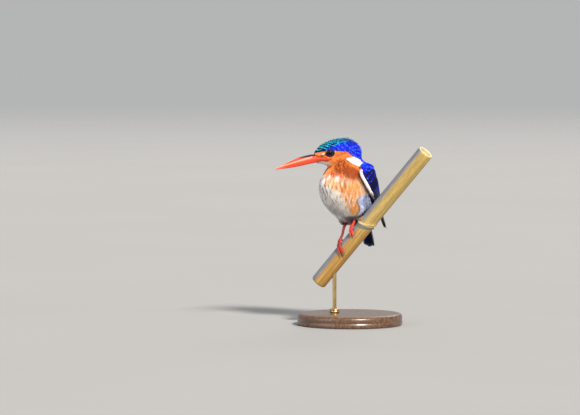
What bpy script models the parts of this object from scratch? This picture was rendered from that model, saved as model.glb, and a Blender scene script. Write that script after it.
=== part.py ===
"""A malachite kingfisher, life size, perched on a short cut length of reed that a display stand holds.

Blender 4.5, metres, +Z up. The origin is the middle of the stand's underside. The bird looks along -X, its
breast turned towards -Y. All driving sizes are in millimetres and pass through MM where a mesh is made.
"""

import math

import bmesh
import bpy
from mathutils import Matrix, Vector

MM = 0.001
GAP = 0.3  # clearance between neighbouring solids
CUT_WIDTH = 0.3  # width of the thin cuts that part the head, neck and trunk

# The stand and the reed
BASE_RADIUS = 41.0
BASE_HEIGHT = 9.0
BASE_EDGE = 1.6
BASE_SIDES = 48
ROD_RADIUS = 1.5
ROD_BOTTOM = 3.0
COLLAR_RADIUS = 4.0
COLLAR_HEIGHT = 3.0
ROD_ALONG_REED = -40.0  # where the rod enters, measured from the reed's joint
REED_RADIUS = 6.2
REED_JOINT = (11.7, -8.0, 78.0)  # the reed's joint, just above the feet
REED_SLOPE = math.radians(51.6)
REED_LEAN = math.radians(18.0)  # the upper end leans forwards, towards -Y
REED_BELOW = 61.0
REED_ABOVE = 78.0
JOINT_TILT = 3.05  # the joint's ring is oblique: it rises by twice this over the reed's width
JOINT_FADE = 14.0  # how far along the reed the obliqueness fades out
REED_SIDES = 22
BORE_RADIUS = 4.3
BORE_DEPTH = 3.5

# The body: a frame whose x runs forwards, y to the bird's left and z up
BODY_PLACE = (-1.5, 1.0, 0.0)
BODY_YAW = math.radians(42.0)  # how far the breast is turned from -Y towards -X
TRUNK_SECTIONS = (  # height, middle, half width, reach to the front, reach to the back
    (77.0, -7.0, 4.0, 3.0, 6.0),
    (80.0, -6.0, 9.0, 7.0, 13.5),
    (85.0, -3.5, 14.4, 12.0, 19.5),
    (92.0, -1.0, 19.0, 17.6, 23.0),
    (100.0, 0.0, 21.0, 22.8, 23.0),
    (108.0, 0.0, 21.4, 24.8, 21.5),
    (115.0, -1.0, 20.2, 23.6, 19.0),
    (121.0, -2.5, 18.0, 20.5, 15.0),
    (127.0, -3.5, 13.0, 14.0, 10.0),
    (130.0, -4.0, 6.0, 6.0, 5.0),
)
RUMP = ((-16.5, 0.0, 90.0), (9.5, 13.0, 14.0))  # middle and half sizes, in the body's frame
THIGHS = (((-0.5, -4.4, 84.5), (5.6, 5.0, 8.0)), ((0.0, 6.6, 88.0), (5.6, 5.2, 7.5)))
NECK = ((3.0, -1.0, 125.0), (13.5, 13.5, 12.0))

# The head: a frame at the level of the eyes, x towards the bill's tip, y to the left
HEAD_PLACE = (-17.4, -5.6, 133.8)
HEAD_YAW = math.radians(78.0)
HEAD_PITCH = math.radians(14.0)  # how far the bill points down
HEAD_SECTIONS = (  # along the head, middle's height, half width, reach up, reach down
    (12.6, -0.8, 3.0, 2.2, 2.8),
    (10.6, -0.6, 4.3, 4.0, 4.4),
    (7.6, -0.4, 5.9, 6.4, 5.8),
    (3.5, 0.0, 7.4, 8.6, 8.4),
    (-1.5, 0.0, 8.8, 9.6, 11.0),
    (-6.5, 0.0, 9.8, 10.1, 13.0),
    (-12.0, -0.5, 10.2, 10.2, 13.5),
    (-17.0, -1.5, 9.8, 9.8, 13.0),
    (-21.5, -3.0, 8.0, 8.2, 11.0),
    (-25.2, -4.5, 4.6, 5.0, 7.0),
)
EYE_PLACE = (-0.6, 5.9, 0.5)
EYE_RADIUS = 2.8
NAPE_CUT = ((-24.0, 0.0, -5.0), (4.0, 0.0, -11.6))  # the cut under the head, back and front
SHOULDER_CUT = ((-17.0, 0.0, 123.5), (22.0, 0.0, 115.5))  # the cut under the neck, back and front

# The bill, in the head's frame
BILL_SECTIONS = (  # along the bill, culmen, cutting edge, lower edge, half width
    (1.2, -3.3, -4.0, -4.8, 8.0),
    (6.0, -0.9, -2.4, -4.7, 6.6),
    (11.0, 2.4, -1.2, -4.3, 4.2),
    (18.0, 3.0, -0.9, -4.0, 3.2),
    (25.5, 2.6, -0.7, -3.7, 2.5),
    (32.5, 1.4, -0.8, -3.1, 1.8),
    (38.5, 0.1, -1.1, -2.3, 1.0),
    (42.8, -0.8, -1.3, -1.9, 0.45),
)

# The wings, mirrored: an oval round the body that the folded wing lies on, and the wing's outline on it
WING_OVAL = (  # height, half width, reach to the back
    (130.0, 14.5, 16.0),
    (122.0, 20.5, 19.8),
    (112.0, 23.0, 25.1),
    (100.0, 23.6, 28.4),
    (88.0, 24.5, 31.4),
    (74.0, 26.0, 36.0),
)
WING_OVAL_FRONT = 25.0
WING_FACETS = 8
WING_ROOM = 6.0  # how far the room cut for a wing reaches outwards
WING_STATIONS = (  # leading edge x and height, rear edge x and height, thickness
    (5.6, 122.9, 0.0, 125.2, 1.4),
    (8.2, 119.8, -8.4, 125.0, 2.8),
    (6.8, 114.0, -17.2, 121.3, 3.8),
    (2.6, 107.0, -22.9, 114.2, 3.8),
    (-3.5, 99.5, -26.0, 105.8, 3.4),
    (-10.6, 92.0, -27.9, 97.0, 2.8),
    (-18.0, 83.8, -29.6, 88.6, 2.0),
    (-24.5, 77.6, -30.6, 81.6, 1.4),
    (-29.2, 74.0, -31.4, 75.8, 1.0),
)

# The tail, in the body's frame
TAIL_ROOT = (-20.8, 0.0, 86.5)
TAIL_TIP = (-26.3, 0.0, 59.5)
TAIL_STATIONS = (  # share of the length, half width, thickness
    (0.0, 2.8, 3.4),
    (0.25, 3.2, 3.0),
    (0.5, 3.4, 2.3),
    (0.75, 3.8, 1.8),
    (0.93, 4.0, 1.4),
    (1.0, 3.2, 1.0),
)
TAIL_ROOF = 0.9  # how far the tail's middle stands above its edges

# The legs and feet. Angles go round the reed, from its upper side towards the front
TOE_RADIUS = 0.8
CLAW_RADIUS = 0.55
CLAW_TIP_RADIUS = 0.12
TARSUS_RADIUS = 1.05
ANKLE_BEND = (0.7, 0.5, 0.2)  # the shin's bend above the foot
SOLE_RADIUS = REED_RADIUS + GAP + TOE_RADIUS + 0.1  # from the reed's axis to the middle of a toe
LEG_TUBE_POINTS = 7
BUD = (3.2, 24.0, (1.7, 1.5, 2.7))  # place along the reed, angle round it, half sizes
FOOT_ANGLE = 4.0  # where the foot's pad sits on the reed, in degrees
# A foot: its name, its place along the reed, its shin's top in the body's frame, and how much further its
# front toes slide along the reed and reach round it
FEET = (
    ("right", -23.6, (-0.8, -2.4, 81.5), -2.8, 16.0),
    ("left", -8.2, (-0.6, 7.8, 84.5), -0.8, -15.0),
)
TOES = (  # name, start and end angle, drift along the reed at the start and at the end
    ("inner", 4.0, 78.0, -0.8, -3.3),
    ("middle", 4.0, 98.0, 0.1, -1.4),
    ("outer", 4.0, 88.0, 1.0, 0.0),
    ("hind", -4.0, -84.0, 0.4, 1.6),
)
CLAW_SHARE = 0.22  # the claw's share of a toe's length


def body_frame():
    """Matrix from the body's millimetres to the row frame's."""
    turn = Matrix.Rotation(-math.pi / 2 - BODY_YAW, 4, "Z")
    return Matrix.Translation(BODY_PLACE) @ turn


def head_frame():
    turn = Matrix.Rotation(-math.pi / 2 - HEAD_YAW, 4, "Z")
    return Matrix.Translation(HEAD_PLACE) @ turn @ Matrix.Rotation(HEAD_PITCH, 4, "Y")


def reed_axes():
    """The reed's direction, its upper side and its front side, each square to the others."""
    along = Vector(
        (
            math.cos(REED_SLOPE) * math.cos(REED_LEAN),
            -math.sin(REED_LEAN),
            math.sin(REED_SLOPE) * math.cos(REED_LEAN),
        )
    )
    upper = Vector((-math.sin(REED_SLOPE), 0.0, math.cos(REED_SLOPE)))
    upper = (upper - along * upper.dot(along)).normalized()
    return along, upper, along.cross(upper).normalized()


def on_reed(distance, angle, radius):
    """A point at this distance from the reed's joint, angle in degrees and radius from its axis."""
    along, upper, front = reed_axes()
    turn = math.radians(angle)
    out = upper * math.cos(turn) + front * math.sin(turn)
    return Vector(REED_JOINT) + along * distance + out * radius


def clear_scene():
    for item in list(bpy.data.objects):
        bpy.data.objects.remove(item, do_unlink=True)


def new_collection(name, hidden=False):
    made = bpy.data.collections.new(name)
    bpy.context.scene.collection.children.link(made)
    made.hide_render = hidden
    return made


def new_material(name, colour, roughness, metallic=0.0):
    made = bpy.data.materials.new(name)
    made.use_nodes = True
    shader = made.node_tree.nodes["Principled BSDF"]
    shader.inputs["Base Color"].default_value = (*colour, 1.0)
    shader.inputs["Roughness"].default_value = roughness
    shader.inputs["Metallic"].default_value = metallic
    return made


def add_object(name, mesh, group, material=None):
    made = bpy.data.objects.new(name, mesh)
    group.objects.link(made)
    if material:
        mesh.materials.clear()
        mesh.materials.append(material)
    return made


def add_helper(name, mesh, group):
    """A cutter or a guide, which isn't part of the model."""
    made = add_object(name, mesh, group)
    made.hide_render = True
    made.display_type = "WIRE"
    return made


def mesh_from(name, work, smooth=True):
    bmesh.ops.recalc_face_normals(work, faces=work.faces)
    mesh = bpy.data.meshes.new(name)
    work.to_mesh(mesh)
    work.free()
    if smooth:
        mesh.shade_smooth()
    return mesh


def evaluated_mesh(item):
    """The object's mesh with its modifiers applied and its place taken in."""
    bpy.context.view_layer.update()
    graph = bpy.context.evaluated_depsgraph_get()
    mesh = bpy.data.meshes.new_from_object(item.evaluated_get(graph))
    mesh.transform(item.matrix_world)
    return mesh


def bake_modifiers(item):
    item.data = evaluated_mesh(item)
    item.modifiers.clear()
    item.matrix_world = Matrix.Identity(4)


def boolean(item, other, operation):
    change = item.modifiers.new(operation.lower(), "BOOLEAN")
    change.operation = operation
    change.object = other
    bake_modifiers(item)


def lofted(name, rings, frame):
    """A closed loft through rings of points, which are in millimetres in the given frame."""
    work = bmesh.new()
    loops = [[work.verts.new(frame @ Vector(p) * MM) for p in ring] for ring in rings]
    for first, second in zip(loops, loops[1:]):
        for i, vertex in enumerate(first):
            after = (i + 1) % len(first)
            work.faces.new((vertex, first[after], second[after], second[i]))
    for loop in (loops[0], loops[-1]):
        middle = sum((v.co for v in loop), Vector()) / len(loop)
        tip = work.verts.new(middle)
        for i, vertex in enumerate(loop):
            work.faces.new((vertex, loop[(i + 1) % len(loop)], tip))
    return mesh_from(name, work)


def between(rows, steps):
    """The rows of a table of sections with steps - 1 smooth rows put between each two (Catmull-Rom)."""
    made = []
    last = len(rows) - 1
    for i in range(last):
        a, b, c, d = (rows[max(i - 1, 0)], rows[i], rows[i + 1], rows[min(i + 2, last)])
        for step in range(steps):
            t = step / steps
            weights = (
                -0.5 * t + t**2 - 0.5 * t**3,
                1 - 2.5 * t**2 + 1.5 * t**3,
                0.5 * t + 2 * t**2 - 1.5 * t**3,
                -0.5 * t**2 + 0.5 * t**3,
            )
            made.append([sum(w * v for w, v in zip(weights, vs)) for vs in zip(a, b, c, d)])
    made.append(list(rows[last]))
    return made


def interpolated(rows, key):
    """Reads a table whose first column rises or falls steadily, at key."""
    ordered = sorted(rows)
    key = min(max(key, ordered[0][0]), ordered[-1][0])
    for low, high in zip(ordered, ordered[1:]):
        if key <= high[0]:
            share = (key - low[0]) / (high[0] - low[0])
            return [a + (b - a) * share for a, b in zip(low[1:], high[1:])]
    return ordered[-1][1:]


def turns(count):
    return [2 * math.pi * i / count for i in range(count)]


def trunk_mesh():
    rings = []
    for height, middle, half_width, front, back in between(TRUNK_SECTIONS, 3):
        ring = []
        for turn in turns(36):
            reach = front if math.cos(turn) > 0 else back
            ring.append((middle + reach * math.cos(turn), half_width * math.sin(turn), height))
        rings.append(ring)
    return lofted("trunk_form", rings, body_frame())


def head_mesh():
    rings = []
    for along, middle, half_width, up, down in between(HEAD_SECTIONS, 3):
        ring = []
        for turn in turns(36):
            reach = up if math.sin(turn) > 0 else down
            ring.append((along, half_width * math.cos(turn), middle + reach * math.sin(turn)))
        rings.append(ring)
    return lofted("head_form", rings, head_frame())


def ellipsoid_mesh(name, middle, half_sizes, frame, rings=12):
    work = bmesh.new()
    bmesh.ops.create_uvsphere(work, u_segments=2 * rings, v_segments=rings, radius=1.0)
    shape = Matrix.Translation(middle) @ Matrix.Diagonal((*half_sizes, 1.0))
    bmesh.ops.transform(work, matrix=Matrix.Scale(MM, 4) @ frame @ shape, verts=work.verts)
    return mesh_from(name, work)


def whole_body(group):
    """Head, neck, trunk, rump and thighs as one smooth closed form, before it is parted."""
    forms = [trunk_mesh(), head_mesh()]
    for name, (middle, half_sizes) in (("rump", RUMP), ("neck", NECK)):
        forms.append(ellipsoid_mesh(name + "_form", middle, half_sizes, body_frame()))
    for middle, half_sizes in THIGHS:
        forms.append(ellipsoid_mesh("thigh_form", middle, half_sizes, body_frame()))
    work = bmesh.new()
    for form in forms:
        work.from_mesh(form)
    whole = add_helper("whole_body", mesh_from("whole_body", work), group)
    remesh = whole.modifiers.new("one_skin", "REMESH")
    remesh.mode = "VOXEL"
    remesh.voxel_size = 1.1 * MM
    smooth = whole.modifiers.new("blend", "SMOOTH")
    smooth.factor = 0.5
    smooth.iterations = 7
    thin = whole.modifiers.new("fewer_faces", "DECIMATE")
    thin.ratio = 0.09
    bake_modifiers(whole)
    return whole


def tube_mesh(name, points, radii, sides=8):
    """A tube through the points, in millimetres, with a radius at each and rounded-off closed ends."""
    curve = bpy.data.curves.new(name, "CURVE")
    curve.dimensions = "3D"
    curve.bevel_depth = MM
    curve.bevel_resolution = sides // 2 - 2
    curve.use_fill_caps = True
    line = curve.splines.new("POLY")
    line.points.add(len(points) - 1)
    for point, place, radius in zip(line.points, points, radii):
        point.co = (*(Vector(place) * MM), 1.0)
        point.radius = radius
    item = bpy.data.objects.new(name, curve)
    bpy.context.scene.collection.objects.link(item)
    mesh = evaluated_mesh(item)
    bpy.data.objects.remove(item)
    work = bmesh.new()
    work.from_mesh(mesh)
    bmesh.ops.remove_doubles(work, verts=work.verts, dist=0.01 * MM)
    return mesh_from(name, work)


def cylinder_mesh(name, bottom, top, radius, sides):
    """A closed cylinder between two points, in millimetres."""
    bottom, top = Vector(bottom), Vector(top)
    along = top - bottom
    turn = along.to_track_quat("Z", "Y").to_matrix().to_4x4()
    work = bmesh.new()
    bmesh.ops.create_cone(
        work,
        cap_ends=True,
        segments=sides,
        radius1=radius * MM,
        radius2=radius * MM,
        depth=along.length * MM,
        matrix=Matrix.Translation((bottom + top) / 2 * MM) @ turn,
    )
    return mesh_from(name, work, smooth=False)


def bill_mesh(name, part, grow=0.0):
    """The upper or the lower mandible, each flat at the cutting edge, or the whole bill grown all round."""
    rings = []
    for along, culmen, edge, lower, half_width in between(BILL_SECTIONS, 2):
        ring = []
        for turn in turns(16):
            rise = math.sin(turn)
            if part == "upper":
                height = edge + GAP / 2 + max(rise, 0.0) * (culmen - edge - GAP / 2)
            elif part == "lower":
                height = edge - GAP / 2 + min(rise, 0.0) * (edge - lower - GAP / 2)
            else:
                height = edge + rise * ((culmen - edge if rise > 0 else edge - lower) + grow)
            ring.append((along, (half_width + grow) * math.cos(turn), height))
        rings.append(ring)
    if grow:
        rings.insert(0, [(x - grow, y, z) for x, y, z in rings[0]])
    return lofted(name, rings, head_frame())


def clipped(mesh, planes):
    """The mesh without what lies behind each plane, closed again. A plane is a point and a normal."""
    work = bmesh.new()
    work.from_mesh(mesh)
    for point, normal in planes:
        cut = bmesh.ops.bisect_plane(
            work,
            geom=[*work.verts, *work.edges, *work.faces],
            dist=1e-7,
            plane_co=point * MM,
            plane_no=normal,
            clear_inner=True,
        )
        edges = [e for e in cut["geom_cut"] if isinstance(e, bmesh.types.BMEdge)]
        bmesh.ops.holes_fill(work, edges=edges, sides=0)
    bmesh.ops.triangulate(work, faces=[f for f in work.faces if len(f.verts) > 4])
    bmesh.ops.dissolve_degenerate(work, edges=work.edges, dist=0.01 * MM)
    return mesh_from(mesh.name, work)


def plane_through(frame, back, front):
    """A plane through two points of a median plane and square to it, facing up."""
    middle = (Vector(back) + Vector(front)) / 2
    along = Vector(front) - Vector(back)
    normal = Vector((0.0, 1.0, 0.0)).cross(along)
    if normal.z < 0:
        normal = -normal
    return frame @ middle, (frame.to_3x3() @ normal).normalized()


def eye_mesh(side, grow=0.0):
    middle = (EYE_PLACE[0], side * EYE_PLACE[1], EYE_PLACE[2])
    radius = EYE_RADIUS + grow
    return ellipsoid_mesh("eye", middle, (radius, radius, radius), head_frame(), rings=8)


def wing_mesh(side, grow=0.0, outwards=0.0):
    """A folded wing: a shell on the wing oval, thick in the middle and thin at its edges.

    With grow and outwards it is the room the wing needs in the body, open to the outside."""
    rings = []
    for lead_x, lead_z, rear_x, rear_z, thick in between(WING_STATIONS, 2):
        outer, inner = [], []
        for i in range(WING_FACETS + 1):
            share = i / WING_FACETS
            x = lead_x + (rear_x - lead_x) * share
            height = lead_z + (rear_z - lead_z) * share
            half_width, back = interpolated(WING_OVAL, height)
            reach = WING_OVAL_FRONT if x > 0 else back
            turn = math.asin(max(-0.985, min(0.985, x / reach)))
            depth = thick * (0.35 + 0.65 * math.sin(math.pi * share) ** 0.6) + grow
            for points, down in ((outer, -outwards), (inner, depth)):
                across = side * (half_width - down) * math.cos(turn)
                points.append(((reach - down) * math.sin(turn), across, height))
        rings.append(outer + inner[::-1])
    if grow:
        rings = [grown_ring(ring, grow) for ring in rings]
        lead = [tuple(Vector(p) + Vector((0.0, 0.0, grow))) for p in rings[0]]
        rings.insert(0, lead)
    return lofted("wing", rings, body_frame())


def grown_ring(ring, grow):
    """The ring with every point pushed away from its middle."""
    middle = sum((Vector(p) for p in ring), Vector()) / len(ring)
    return [tuple(Vector(p) + (Vector(p) - middle).normalized() * grow) for p in ring]


def tail_mesh(grow=0.0):
    rings = []
    root, tip = Vector(TAIL_ROOT), Vector(TAIL_TIP)
    along = (tip - root).normalized()
    above = along.cross(Vector((0.0, 1.0, 0.0))).normalized()
    if above.x > 0:
        above = -above
    for share, half_width, thick in between(TAIL_STATIONS, 2):
        middle = root.lerp(tip, share)
        ring = []
        for turn in turns(16):
            side = (half_width + grow) * math.cos(turn)
            roof = TAIL_ROOF * (1 - math.cos(turn) ** 2)
            rise = (thick / 2 + grow) * math.sin(turn) + roof
            ring.append(tuple(middle + Vector((0.0, side, 0.0)) + above * rise))
        rings.append(ring)
    return lofted("tail", rings, body_frame())


def reed_mesh():
    """The reed's profile, to be turned: a raised joint with its scar, and a shallow bore at each cut end."""
    profile = [
        (0.0, REED_ABOVE - BORE_DEPTH),
        (BORE_RADIUS, REED_ABOVE - BORE_DEPTH + 0.4),
        (BORE_RADIUS + 0.3, REED_ABOVE),
        (REED_RADIUS - 0.35, REED_ABOVE),
        (REED_RADIUS - 0.1, REED_ABOVE - 0.5),
        (REED_RADIUS, 14.0),
        (REED_RADIUS, 5.0),
        (REED_RADIUS + 0.3, 1.6),
        (REED_RADIUS + 0.75, 0.5),
        (REED_RADIUS + 0.7, -0.3),
        (REED_RADIUS + 0.15, -0.7),
        (REED_RADIUS + 0.1, -2.4),
        (REED_RADIUS, -14.0),
        (REED_RADIUS + 0.1, 0.5 - REED_BELOW),
        (REED_RADIUS - 0.25, -REED_BELOW),
        (BORE_RADIUS + 0.4, -REED_BELOW),
        (BORE_RADIUS + 0.1, BORE_DEPTH - 0.4 - REED_BELOW),
        (0.0, BORE_DEPTH - REED_BELOW),
    ]
    work = bmesh.new()
    points = [work.verts.new((radius * MM, 0.0, height * MM)) for radius, height in profile]
    for first, second in zip(points, points[1:]):
        work.edges.new((first, second))
    mesh = bpy.data.meshes.new("reed")
    work.to_mesh(mesh)
    work.free()
    return mesh


def tilt_joint(mesh):
    """Shears the turned joint so that its ring climbs from the reed's upper side to its lower side."""
    for vertex in mesh.vertices:
        place = vertex.co
        radius = math.hypot(place.x, place.y)
        fade = max(0.0, 1.0 - abs(place.z) / (JOINT_FADE * MM))
        if radius > 0:
            place.z += JOINT_TILT * MM * (1.0 - place.x / radius) * fade


def add_reed(group, cutters, material):
    along, upper, front = reed_axes()
    reed = add_object("perch_reed", reed_mesh(), group, material)
    axes = Matrix((upper, front, along)).transposed().to_4x4()
    spin = reed.modifiers.new("turn", "SCREW")
    spin.steps = REED_SIDES
    spin.render_steps = REED_SIDES
    spin.use_merge_vertices = True
    spin.merge_threshold = 0.00001
    bake_modifiers(reed)
    tilt_joint(reed.data)
    reed.matrix_world = Matrix.Translation(Vector(REED_JOINT) * MM) @ axes
    bake_modifiers(reed)
    bottom, top = rod_ends()
    deeper = top + Vector((0.0, 0.0, GAP))
    hole = add_helper("rod_hole", cylinder_mesh("rod_hole", bottom, deeper, ROD_RADIUS + GAP, 16), cutters)
    boolean(reed, hole, "DIFFERENCE")
    add_bud(reed, cutters)
    mark_sharp(reed.data)
    return reed


def add_bud(reed, cutters):
    """The bud that sits in the joint's axil, grown together with the reed."""
    place, angle, half_sizes = BUD
    along, upper, front = reed_axes()
    middle = on_reed(place, angle, REED_RADIUS + 0.3)
    axes = Matrix((upper, front, along)).transposed().to_4x4()
    bud = ellipsoid_mesh("bud", (0.0, 0.0, 0.0), half_sizes, Matrix.Translation(middle) @ axes, 7)
    boolean(reed, add_helper("bud", bud, cutters), "UNION")


def mark_sharp(mesh, degrees=35.0):
    mesh.shade_smooth()
    mesh.set_sharp_from_angle(angle=math.radians(degrees))


def rod_ends():
    along, _, _ = reed_axes()
    place = Vector(REED_JOINT) + along * ROD_ALONG_REED
    return Vector((place.x, place.y, ROD_BOTTOM)), place


def add_stand(group, cutters, wood, metal):
    """A round wooden base with a bevelled rim, a collar and an upright rod that holds the reed."""
    bottom, top = rod_ends()
    foot = (0.0, 0.0, 0.0)
    base = add_object(
        "stand_base",
        cylinder_mesh("stand_base", foot, (0.0, 0.0, BASE_HEIGHT), BASE_RADIUS, BASE_SIDES),
        group,
        wood,
    )
    rim = base.modifiers.new("rim", "BEVEL")
    rim.width = BASE_EDGE * MM
    rim.segments = 2
    rim.limit_method = "ANGLE"
    bake_modifiers(base)
    socket = add_helper(
        "rod_socket",
        cylinder_mesh(
            "rod_socket",
            bottom - Vector((0.0, 0.0, GAP)),
            (bottom.x, bottom.y, BASE_HEIGHT + COLLAR_HEIGHT + 2.0),
            ROD_RADIUS + GAP,
            16,
        ),
        cutters,
    )
    boolean(base, socket, "DIFFERENCE")
    mark_sharp(base.data)
    rod = add_object("stand_rod", cylinder_mesh("stand_rod", bottom, top, ROD_RADIUS, 16), group, metal)
    mark_sharp(rod.data)
    low = Vector((bottom.x, bottom.y, BASE_HEIGHT + GAP))
    collar = add_object(
        "stand_collar",
        cylinder_mesh("stand_collar", low, low + Vector((0.0, 0.0, COLLAR_HEIGHT)), COLLAR_RADIUS, 20),
        group,
        metal,
    )
    rounded = collar.modifiers.new("rounded", "BEVEL")
    rounded.width = 0.5 * MM
    rounded.segments = 1
    rounded.limit_method = "ANGLE"
    bake_modifiers(collar)
    boolean(collar, socket, "DIFFERENCE")
    mark_sharp(collar.data)


def toe_points(along_start, start, end, drift_start, drift_end, radius):
    """A toe's middle line, which follows the reed's round and lifts a little over the knuckles."""
    points = []
    for i in range(LEG_TUBE_POINTS):
        share = i / (LEG_TUBE_POINTS - 1)
        angle = start + (end - start) * share
        drift = drift_start + (drift_end - drift_start) * share
        lift = 0.5 * math.sin(math.pi * min(1.0, share * 1.6)) * (1 - share)
        points.append(on_reed(along_start + drift, angle, radius + lift))
    return points


def toe_radii():
    radii = []
    claw_from = 1.0 - CLAW_SHARE
    for i in range(LEG_TUBE_POINTS):
        share = i / (LEG_TUBE_POINTS - 1)
        if share <= claw_from:
            radii.append(TOE_RADIUS * (1.0 - 0.12 * share))
        else:
            rest = (share - claw_from) / CLAW_SHARE
            radii.append(CLAW_RADIUS + (CLAW_TIP_RADIUS - CLAW_RADIUS) * rest)
    return radii


def shin_mesh(pad_along, shin_top, grow=0.0):
    """The shin from inside the thigh's feathers down to the foot's pad."""
    pad = on_reed(pad_along, FOOT_ANGLE, SOLE_RADIUS + 0.35)
    top = body_frame() @ Vector(shin_top)
    line = [top.lerp(pad, share) for share in (-grow / (top - pad).length, 0.35, 0.7, 1.0)]
    line[2] += Vector(ANKLE_BEND)
    radii = [1.45 + grow, 1.2 + grow, TARSUS_RADIUS + grow, TARSUS_RADIUS + 0.2 + grow]
    return tube_mesh("shin", line, radii)


def add_leg(name, pad_along, shin_top, slide, reach, group, cutters, material):
    """A shin with its foot: three toes over the front of the reed and one behind it."""
    leg = add_object("leg_" + name, shin_mesh(pad_along, shin_top), group, material)
    pad = on_reed(pad_along, FOOT_ANGLE, SOLE_RADIUS + 0.35)
    heel = add_helper("heel", ellipsoid_mesh("heel", pad, (1.35, 1.35, 1.35), Matrix(), rings=6), cutters)
    boolean(leg, heel, "UNION")
    for _, start, end, drift_start, drift_end in TOES:
        if end > start:
            end, drift_end = end + reach, drift_end + slide
        points = toe_points(pad_along, start, end, drift_start, drift_end, SOLE_RADIUS)
        toe = add_helper("toe", tube_mesh("toe", points, toe_radii()), cutters)
        boolean(leg, toe, "UNION")
    mark_sharp(leg.data, 60.0)
    return leg


def add_bird(group, cutters, paint):
    whole = whole_body(cutters)
    for name, side in (("left", 1.0), ("right", -1.0)):
        add_object("wing_" + name, wing_mesh(side), group, paint["wing"])
        room = add_helper("wing_room", wing_mesh(side, GAP, WING_ROOM), cutters)
        boolean(whole, room, "DIFFERENCE")
    add_object("tail", tail_mesh(), group, paint["wing"])
    tail_room = add_helper("tail_room", tail_mesh(GAP), cutters)
    boolean(whole, tail_room, "DIFFERENCE")
    bill_room = add_helper("bill_room", bill_mesh("bill_room", "whole", GAP), cutters)
    boolean(whole, bill_room, "DIFFERENCE")
    for side in (1.0, -1.0):
        socket = add_helper("eye_socket", eye_mesh(side, GAP), cutters)
        boolean(whole, socket, "DIFFERENCE")
    for _, pad_along, shin_top, _, _ in FEET:
        room = add_helper("shin_room", shin_mesh(pad_along, shin_top, GAP), cutters)
        boolean(whole, room, "DIFFERENCE")
    low = on_reed(-REED_BELOW, 0.0, 0.0)
    high = on_reed(REED_ABOVE, 0.0, 0.0)
    reed_room = cylinder_mesh("reed_room", low, high, REED_RADIUS + 1.2, 24)
    boolean(whole, add_helper("reed_room", reed_room, cutters), "DIFFERENCE")
    add_flesh(whole, group, paint)
    for part in ("upper", "lower"):
        name = "bill_" + part
        add_object(name, bill_mesh(name, part), group, paint["bill"])
    for name, side in (("eye_left", 1.0), ("eye_right", -1.0)):
        add_object(name, eye_mesh(side), group, paint["eye"])


def add_flesh(whole, group, paint):
    """Parts the whole form into head, neck and trunk with two thin cuts."""
    nape, nape_up = plane_through(head_frame(), *NAPE_CUT)
    shoulder, shoulder_up = plane_through(body_frame(), *SHOULDER_CUT)
    half = CUT_WIDTH / 2
    parts = (
        ("head", [(nape + nape_up * half, nape_up)]),
        ("neck", [(nape - nape_up * half, -nape_up), (shoulder + shoulder_up * half, shoulder_up)]),
        ("trunk", [(shoulder - shoulder_up * half, -shoulder_up)]),
    )
    for name, planes in parts:
        mesh = whole.data.copy()
        mesh.name = name
        mesh = clipped(mesh, planes)
        mark_sharp(mesh, 35.0)
        add_object(name, mesh, group, paint[name])


def main():
    clear_scene()
    group = new_collection("malachite_kingfisher")
    cutters = new_collection("cutters", hidden=True)
    paint = {
        "head": new_material("crown_blue", (0.02, 0.09, 0.75), 0.45),
        "neck": new_material("cheek_rufous", (0.62, 0.2, 0.05), 0.7),
        "trunk": new_material("breast_orange", (0.75, 0.36, 0.13), 0.75),
        "wing": new_material("wing_blue_black", (0.01, 0.015, 0.2), 0.5),
        "bill": new_material("bill_red", (0.85, 0.05, 0.01), 0.3),
        "eye": new_material("eye_black", (0.01, 0.006, 0.004), 0.08),
        "leg": new_material("leg_red", (0.75, 0.06, 0.02), 0.45),
        "reed": new_material("reed_tan", (0.42, 0.29, 0.07), 0.5),
        "wood": new_material("stand_wood", (0.05, 0.03, 0.02), 0.4),
        "metal": new_material("stand_brass", (0.6, 0.42, 0.18), 0.3, 1.0),
    }
    add_bird(group, cutters, paint)
    for name, pad_along, shin_top, slide, reach in FEET:
        add_leg(name, pad_along, shin_top, slide, reach, group, cutters, paint["leg"])
    add_reed(group, cutters, paint["reed"])
    add_stand(group, cutters, paint["wood"], paint["metal"])


main()
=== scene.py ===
"""A malachite kingfisher, life size, on a short cut length of reed that a display stand holds.

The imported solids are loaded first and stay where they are. Everything that shows is modelled around them:
one skin for head, neck and trunk, a coat of feathers that lies over it, quills on the wings and the tail,
the bill, the eyes, the legs, the reed and the stand. Sizes are in millimetres unless a name says otherwise.
"""

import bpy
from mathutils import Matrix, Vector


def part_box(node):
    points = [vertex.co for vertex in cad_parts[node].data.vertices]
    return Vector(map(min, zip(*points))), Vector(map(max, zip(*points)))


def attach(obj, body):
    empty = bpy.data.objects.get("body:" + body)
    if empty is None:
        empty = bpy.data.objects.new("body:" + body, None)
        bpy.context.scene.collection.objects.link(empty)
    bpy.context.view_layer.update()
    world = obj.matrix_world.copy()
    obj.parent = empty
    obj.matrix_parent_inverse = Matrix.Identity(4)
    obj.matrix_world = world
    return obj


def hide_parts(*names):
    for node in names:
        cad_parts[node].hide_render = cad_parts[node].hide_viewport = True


bl_info = {
    "name": "Malachite kingfisher",
    "version": (1, 0, 0),
    "blender": (4, 5, 0),
    "location": "3D View > Sidebar > Kingfisher",
    "description": "Feathers, bill, eyes, legs, reed and stand of a life-size kingfisher model",
    "category": "Object",
}

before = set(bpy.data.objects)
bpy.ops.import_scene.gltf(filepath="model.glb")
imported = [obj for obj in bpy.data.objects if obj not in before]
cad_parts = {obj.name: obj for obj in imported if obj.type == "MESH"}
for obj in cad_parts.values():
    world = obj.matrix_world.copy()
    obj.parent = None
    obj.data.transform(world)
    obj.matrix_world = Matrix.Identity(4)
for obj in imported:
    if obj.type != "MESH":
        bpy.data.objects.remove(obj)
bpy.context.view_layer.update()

import math

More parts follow.
